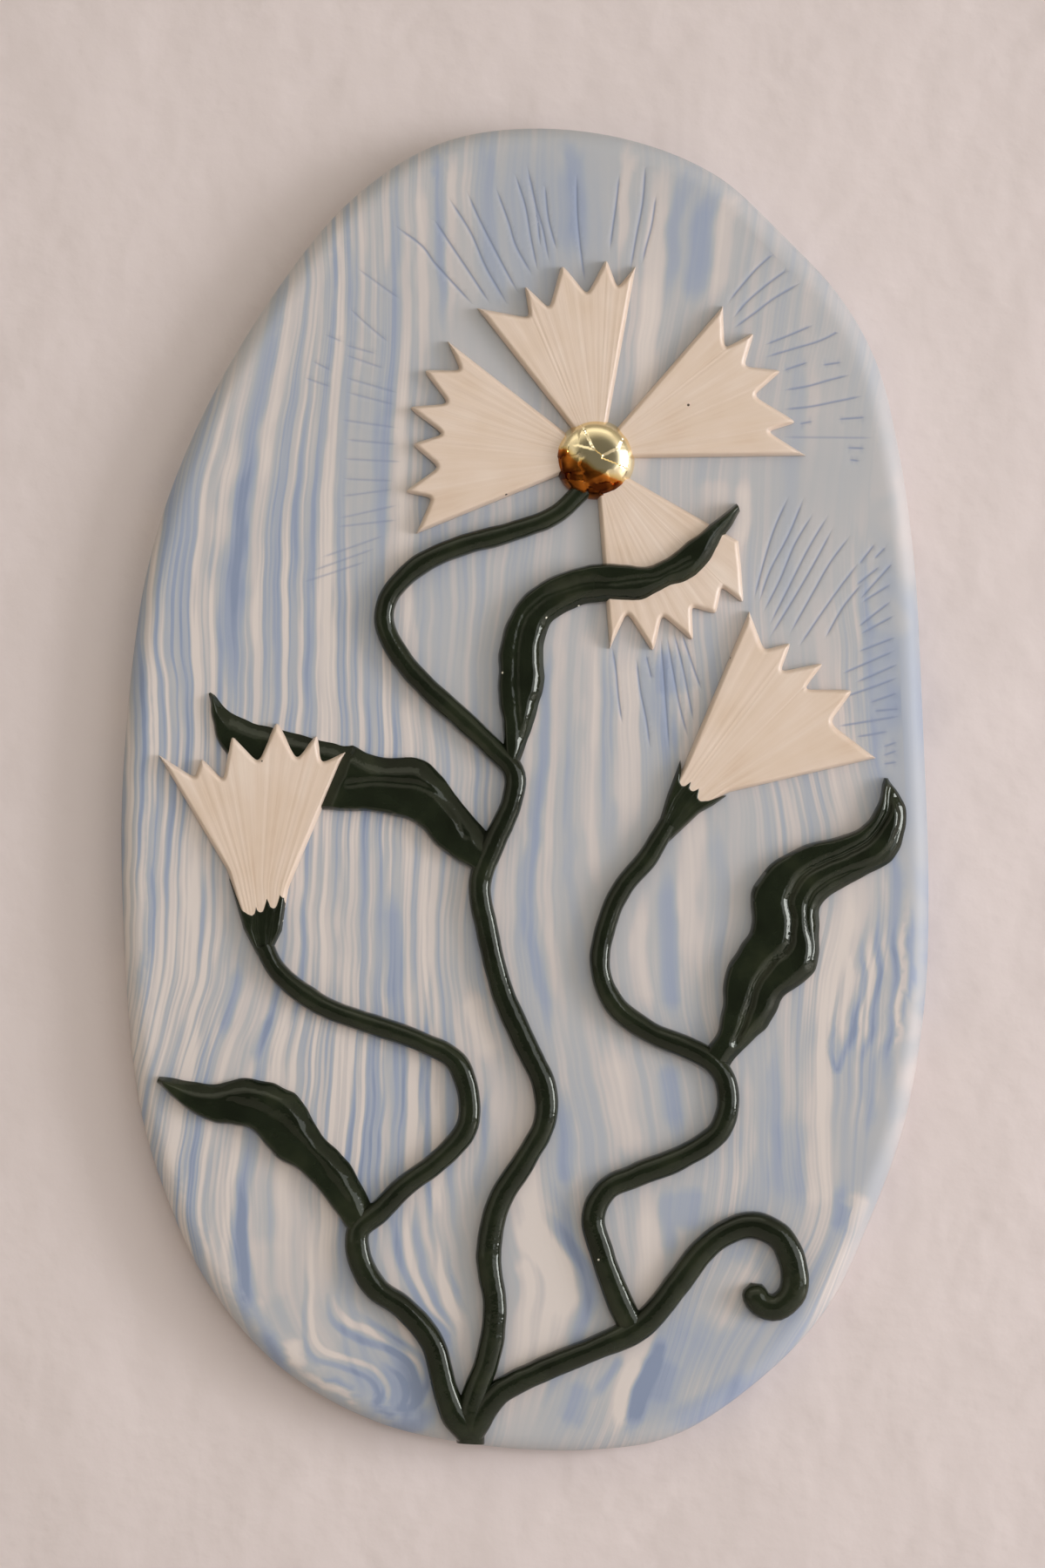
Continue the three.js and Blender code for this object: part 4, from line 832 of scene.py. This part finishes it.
# Petals and flowers cut from a thin sheet: each fans out from its root to a zigzag rim. A petal's root is given by two
# directions from the gold, in degrees, and a flower's by the ends of lines across it.
goldPlace = place([17.2, 49.7])
petals = {
    "leftPetal": ("left_petal", (136, 205), [[-19.1, 67.5], [-15.9, 63.1], [-25.2, 63.2], [-18.9, 58.1],
        [-29, 57.6], [-20.2, 53.5],
                  [-28, 52], [-21.3, 48.5], [-29.9, 44.8], [-23, 43.9], [-26.9, 38.5]]),
    "topPetal": ("top_petal", (126, 66), [[-11.8, 72.5], [1.1, 71], [-0.2, 76], [6, 72.4], [9, 79.2], [15.3, 74.5],
        [20, 80], [22.8, 75.6], [27.3, 78.8]]),
    "rightPetal": ("right_petal", (57, 3), [[48.8, 72.8], [49.2, 66.4], [56.6, 68.9], [54, 63.7], [63.4, 63.1],
        [56.3, 59.3], [67.1, 55.3],
                   [59.8, 53.9], [69.2, 50.3]]),
    "lowerPetal": ("lower_petal", (-86, -28), [[20.9, 21.2], [25.2, 26.7], [31.6, 20.5], [33.8, 26.3], [41.5, 22.2],
        [41.1, 27.5],
                   [47.1, 26.4], [48.5, 30.5], [53.9, 28], [53.3, 33.5], [52.6, 37.4]]),
}
flowers = {
    "leftFlower": ("left_flower", [[[-66, -25], [-63, -24.8]], [[-69.2, -21], [-60.2, -21.3]], [[-73.3, -12.4],
        [-58.3, -14.7]]],
                   [[-90.3, 5.1], [-81.5, 1.7], [-79.8, 4.7], [-74.4, 1.3], [-72.5, 8.4], [-65.8, 4.1],
                    [-61.3, 10.4], [-56.3, 4.6],
                    [-51.4, 8.3], [-50.1, 4.1], [-44.1, 5.7]]),
    "rightFlower": ("right_flower", [[[32.6, -6.4], [35.4, -7.2]], [[35.3, -0.8], [42.8, -3.4]], [[39.1, 3.4],
        [49.9, -0.5]]],
                    [[55.3, 26.8], [58.9, 21], [65.6, 22.1], [63, 17.7], [73.8, 19.1], [68.8, 15], [81.1, 15],
                     [75.1, 10], [86.5, 4.7]]),
}
petal = {
    "rise": 2.7, "rootReach": 6.0, "columns": 190, "rows": 46,
    "edge": 1.0, "edgeFall": 0.6, "edgeCurve": 2.2,  # width of the rounding at the cut edges, and its depth and curve
    "rimRows": 1.35,  # above 1, rows are closer together at the rim
    "ribs": 24, "ribDepth": 0.05,
}


def buildFan(name, node, roots, rim, look=creamLook, slotName="cream_porcelain", rise=petal["rise"], soften=6):
    soft = along(place(rim), np.linspace(0, 1, (len(rim) - 1) * 16 + 1), byLength=False)
    for _ in range(soften):
        soft[1:-1] = (soft[:-2] + 2 * soft[1:-1] + soft[2:]) / 4
    left, right = [np.array([place(line[side]) for line in roots]) for side in (0, 1)]
    outline = np.vstack([left, soft, right[::-1]])
    middles = np.vstack([(left + right) / 2, soft.mean(0)])
    levels = np.linalg.norm(middles - middles[0], axis=1)

    def shape(u, v):
        v = 1 - (1 - v) ** petal["rimRows"]
        chain = [a + (b - a) * u[:, None] for a, b in zip(left, right)] + [along(soft, u, byLength=False)]
        places = np.zeros((len(u), 2))
        for k in (0, 1):
            columns = np.stack([c[:, k] for c in chain])
            places[:, k] = [np.interp(share, levels / levels[-1], column) for share, column in zip(v, columns.T)]
        t = 1 - np.clip(nearest(places, outline)[0] / petal["edge"], 0, 1)
        heights = rise - petal["edgeFall"] * petal["rise"] * t ** petal["edgeCurve"]
        ribs = np.array([noise.noise(Vector((x * petal["ribs"], 0.3 * y, 4.1))) for x, y in zip(u, v)])
        heights = heights + petal["ribDepth"] * ribs * np.clip(v * 2.5, 0, 1) * (1 - t)
        return places, heights, np.stack([u, v], -1)

    return finishPiece(name, skin(petal["columns"], petal["rows"], shape), look, slotName, node)


for name, (node, sides, rim) in petals.items():
    spokes = [goldPlace + petal["rootReach"] * np.array([math.cos(a), math.sin(a)]) for a in np.radians(sides)]
    buildFan(name, node, [[spoke / place([1, 1]) for spoke in spokes]], rim)
for name, (node, roots, rim) in flowers.items():
    buildFan(name, node, roots, rim)
# The cup of glaze at the foot of each flower, which ends in pointed fingers
glazeOverClay = 0.12
calyxes = {
    "leftCalyx": ("left_flower", [[[-62.9, -27.6], [-60.6, -27.2]], [[-66.3, -24.8], [-62.4, -24.3]], [[-69.5, -21],
        [-60, -21.3]]],
                  [[-73, -13.5], [-69.5, -17.8], [-67.3, -18.6], [-66.5, -15.6], [-65.2, -18.2], [-63.7, -14.9],
                   [-62, -17.6], [-60.6, -14.7],
                   [-59.3, -16], [-58.6, -15.2]]),
    "rightCalyx": ("right_flower", [[[29.2, -9.6], [30.6, -10.6]], [[32.4, -6.2], [35.9, -7.7]], [[35.1, -0.8],
        [43, -3.6]]],
                   [[38.3, 4.4], [38.9, 0.8], [42.2, 2.4], [41.2, 0.1], [43.9, 1], [43.2, -1.4], [49.9, -0.9],
                    [46.5, -2.4]]),
}
for name, (node, roots, rim) in calyxes.items():
    buildFan(name, node, roots, rim, greenLook, "green_glaze", rise=petal["rise"] + glazeOverClay, soften=3)
print("petals and flowers built")

# The gold centre, a dome crumpled into flat facets and folds, sharp in the lower left and slight in the upper right
gold = {
    "diameter": 18.1, "rise": 5.2, "roundness": 2.4,
    "facet": 1.0, "facetTilt": 1.5, "fold": 2.3, "foldTilt": 0.8,  # how many facets and finer folds, and how steep
    "crease": 1.5, "lowest": -1.3, "highest": 0.25,  # mm that the crumpling may press in and stand out
    "smoothFacet": 0.65,  # the facets' share of their depth on the smooth side
    "smoothSide": (0.48, 0.88), "smoothEdge": 0.18, "change": 14,  # where the smooth side is, and how sudden the change
}


def buildGold():
    bm = bmesh.new()
    bmesh.ops.create_icosphere(bm, subdivisions=6, radius=1)
    bmesh.ops.bisect_plane(bm, geom=bm.verts[:] + bm.edges[:] + bm.faces[:], plane_co=(0, 0, 0), plane_no=(0, 0, -1),
                           clear_outer=True)
    # the tone layer carries the painted light and shade of the crumpled dome
    tone = bm.verts.layers.float.new("tone")
    for v in bm.verts:
        x, y, up = v.co.x, v.co.y, max(v.co.z, 0)
        toSmooth = x * gold["smoothSide"][0] + y * gold["smoothSide"][1] + gold["smoothEdge"]
        crumple = 1 / (1 + math.exp(toSmooth * gold["change"]))
        spot = Vector((x * gold["facet"] + 5.2, y * gold["facet"] * 1.2 + 1.7, 3.7))
        facet, crease = [noise.voronoi(spot * scale)[1][0] for scale in (1, gold["fold"])]
        tilt = (spot - facet).dot(noise.noise_vector(facet * 3.1)) * gold["facetTilt"]
        fold = (spot * gold["fold"] - crease).dot(noise.noise_vector(crease * 5.3)) * gold["foldTilt"]
        depth = tilt * (gold["smoothFacet"] + (1 - gold["smoothFacet"]) * crumple) + fold * crumple
        lift = gold["crease"] * depth * min(1, up * 2.5)
        crown = (1 - min(1, x * x + y * y) ** gold["roundness"]) ** 0.5
        v.co = (goldPlace[0] + x * gold["diameter"] / 2, goldPlace[1] + y * gold["diameter"] / 2,
                plaque["thickness"] + gold["rise"] * crown + max(gold["lowest"], min(gold["highest"], lift)))
        v[tone] = 0.75 * crumple - 0.3 * tilt + 0.5 * fold * crumple - 0.15  # painted shade: darker on the crumpled side, by each facet's tilt and in the folds
    edges = [e for e in bm.edges if e.is_boundary]
    made = bmesh.ops.extrude_edge_only(bm, edges=edges)["geom"]
    for v in (g for g in made if isinstance(g, bmesh.types.BMVert)):
        v.co.z = plaque["thickness"] - plaque["seat"]
    bmesh.ops.holes_fill(bm, edges=[e for e in bm.edges if e.is_boundary], sides=0)
    return finishPiece("goldCentre", bm, goldLook, "gold_lustre", "gold_centre")


buildGold()
print("gold centre built")

# The stage, its lights and the camera, in metres
studio = {
    "mmPerPixel": 0.1971, "centrePixel": (603, 906), "frame": (1200, 1800), "lens": 100.0, "sensor": 36.0,
    "wall": "#cfc3bf", "wallGap": 0.0005, "wallSides": 2.0, "wallTop": 1.6,
    "floor": "#d9d5d0", "floorLevel": -0.6, "floorSides": 4.0,
    # a warm room, bright all round the camera and dim right behind it, so that the flat glaze mirrors little
    "room": [(0.0, "#aaa293"), (0.5, "#c8c0b1"), (0.8, "#f9f2e3"), (0.9, "#f3eddf"), (0.975, "#595950")],
    "roomStrength": 0.74,
}
# Each light's place, width and height, watts and colour; all face the plaque
lights = {
    "windowLight": ((2.1, -2.1, 0.2), (2.8, 1.5), 23, "#e9eefd"),
    "backLight": ((0.5, 1.7, 0.5), (1.6, 1.6), 22, "#f6f4ee"),  # only for a look at the back
    "ceilingBounce": ((-0.3, -1.7, 1.9), (2.6, 1.0), 5, "#fdfaf0"),
    "sideWindow": ((1.85, -0.8, 0.0), (0.7, 0.9), 27, "#f3f4fb"),
}
# A soft pool of light on the plaque, so that the wall dims towards the corners
poolOfLight = {"place": (0.1, -1.5, 0.35), "target": (-0.03, 0, 0.0), "watts": 31, "angle": 17, "softness": 0.25}


def stagePlane(name, corners, look):
    bm = bmesh.new()
    bmesh.ops.create_grid(bm, x_segments=1, y_segments=1, size=1)
    for v, corner in zip(sorted(bm.verts, key=lambda v: (v.co.y, v.co.x)), corners):
        v.co = corner
    mesh = bpy.data.meshes.new(name)
    bm.to_mesh(mesh)
    bm.free()
    plane = bpy.data.objects.new(name, mesh)
    bpy.context.scene.collection.objects.link(plane)
    plane.data.materials.append(look)
    return plane


# Painted plaster, trowelled by hand. The eye gets a matt pale pinkish wall with broad low waves and a fine grit.
tree, shader, wallLook = newMaterial("painted_plaster_wall", Base_Color=linear(studio["wall"]), Roughness=0.85)
coords = addNode(tree, "TexCoord").outputs["Object"]
broad = addNode(tree, "TexNoise", {"Vector": coords, "Scale": 16.0, "Detail": 4.0, "Roughness": 0.55}).outputs["Fac"]
grit = addNode(tree, "TexNoise", {"Vector": coords, "Scale": 420.0, "Detail": 2.0}).outputs["Fac"]
relief = addNode(tree, "Math", {0: grit, 1: 0.02, 2: broad}, operation="MULTIPLY_ADD").outputs[0]
bump = addNode(tree, "Bump", {"Height": relief, "Strength": 0.5, "Distance": 0.008}).outputs[0]
tree.links.new(bump, shader.inputs["Normal"])
# the wall is clear from behind and lets light through to the plaque's back, so that both can be looked at
behind = addNode(tree, "NewGeometry").outputs["Backfacing"]
shadow = addNode(tree, "LightPath").outputs["Is Shadow Ray"]
unseen = addNode(tree, "Math", {0: behind, 1: shadow}, operation="MAXIMUM").outputs[0]
clear = addNode(tree, "BsdfTransparent").outputs[0]
mix = addNode(tree, "MixShader", {0: unseen, 1: shader.outputs[0], 2: clear})
tree.links.new(mix.outputs[0], tree.nodes["Material Output"].inputs["Surface"])
tree, shader, floorLook = newMaterial("pale_floor", Base_Color=linear(studio["floor"]), Roughness=0.7)
side, top, level = studio["wallSides"], studio["wallTop"], studio["floorLevel"]
stagePlane("wall", [(x, studio["wallGap"], z) for z in (level, top) for x in (-side, side)], wallLook)
side = studio["floorSides"]
stagePlane("floor", [(x, y, level) for y in (-side, side) for x in (-side, side)], floorLook)

scene = bpy.context.scene
scene.view_settings.view_transform = "Standard"
world = bpy.data.worlds.new("studio")
world.use_nodes = True
tree = world.node_tree
facing = addNode(tree, "SeparateXYZ", {0: addNode(tree, "TexCoord").outputs["Generated"]}).outputs["Y"]
toFront = addNode(tree, "Math", {0: facing, 1: -1.0}, operation="MULTIPLY").outputs[0]
glow = addNode(tree, "ValToRGB", {0: toFront}, stops=studio["room"]).outputs[0]
tree.links.new(glow, tree.nodes["Background"].inputs["Color"])
tree.nodes["Background"].inputs["Strength"].default_value = studio["roomStrength"]
scene.world = world


def hangLight(name, data, position, target=(0, 0, 0)):
    light = bpy.data.objects.new(name, data)
    light.location = position
    light.rotation_euler = (Vector(target) - Vector(position)).to_track_quat("-Z", "Y").to_euler()
    scene.collection.objects.link(light)
    return light


for name, (position, size, watts, colour) in lights.items():
    panel = bpy.data.lights.new(name, "AREA")
    panel.shape, panel.energy, panel.color = "RECTANGLE", watts, linear(colour)[:3]
    panel.size, panel.size_y = size
    hangLight(name, panel, position)
pool = bpy.data.lights.new("pool", "SPOT")
pool.energy, pool.spot_size, pool.spot_blend = poolOfLight["watts"], math.radians(poolOfLight["angle"]), 1.0
pool.shadow_soft_size = poolOfLight["softness"]
poolLight = hangLight("pool", pool, poolOfLight["place"], poolOfLight["target"])
poolLight.visible_glossy = False  # it evens out the light, and the glaze mirrors only the room

# the camera stands square to the face, as far off as its lens needs for the photograph's scale
metresPerPixel = studio["mmPerPixel"] / 1000
distance = studio["lens"] / studio["sensor"] * studio["frame"][1] * metresPerPixel + plaque["thickness"] / 1000
camera = bpy.data.objects.new("camera", bpy.data.cameras.new("camera"))
camera.data.lens = studio["lens"]
camera.location = ((studio["frame"][0] / 2 - studio["centrePixel"][0]) * metresPerPixel, -distance,
                   (studio["centrePixel"][1] - studio["frame"][1] / 2) * metresPerPixel)
camera.rotation_euler = (math.radians(90), 0, 0)
scene.collection.objects.link(camera)
scene.camera = camera
print("stage ready")
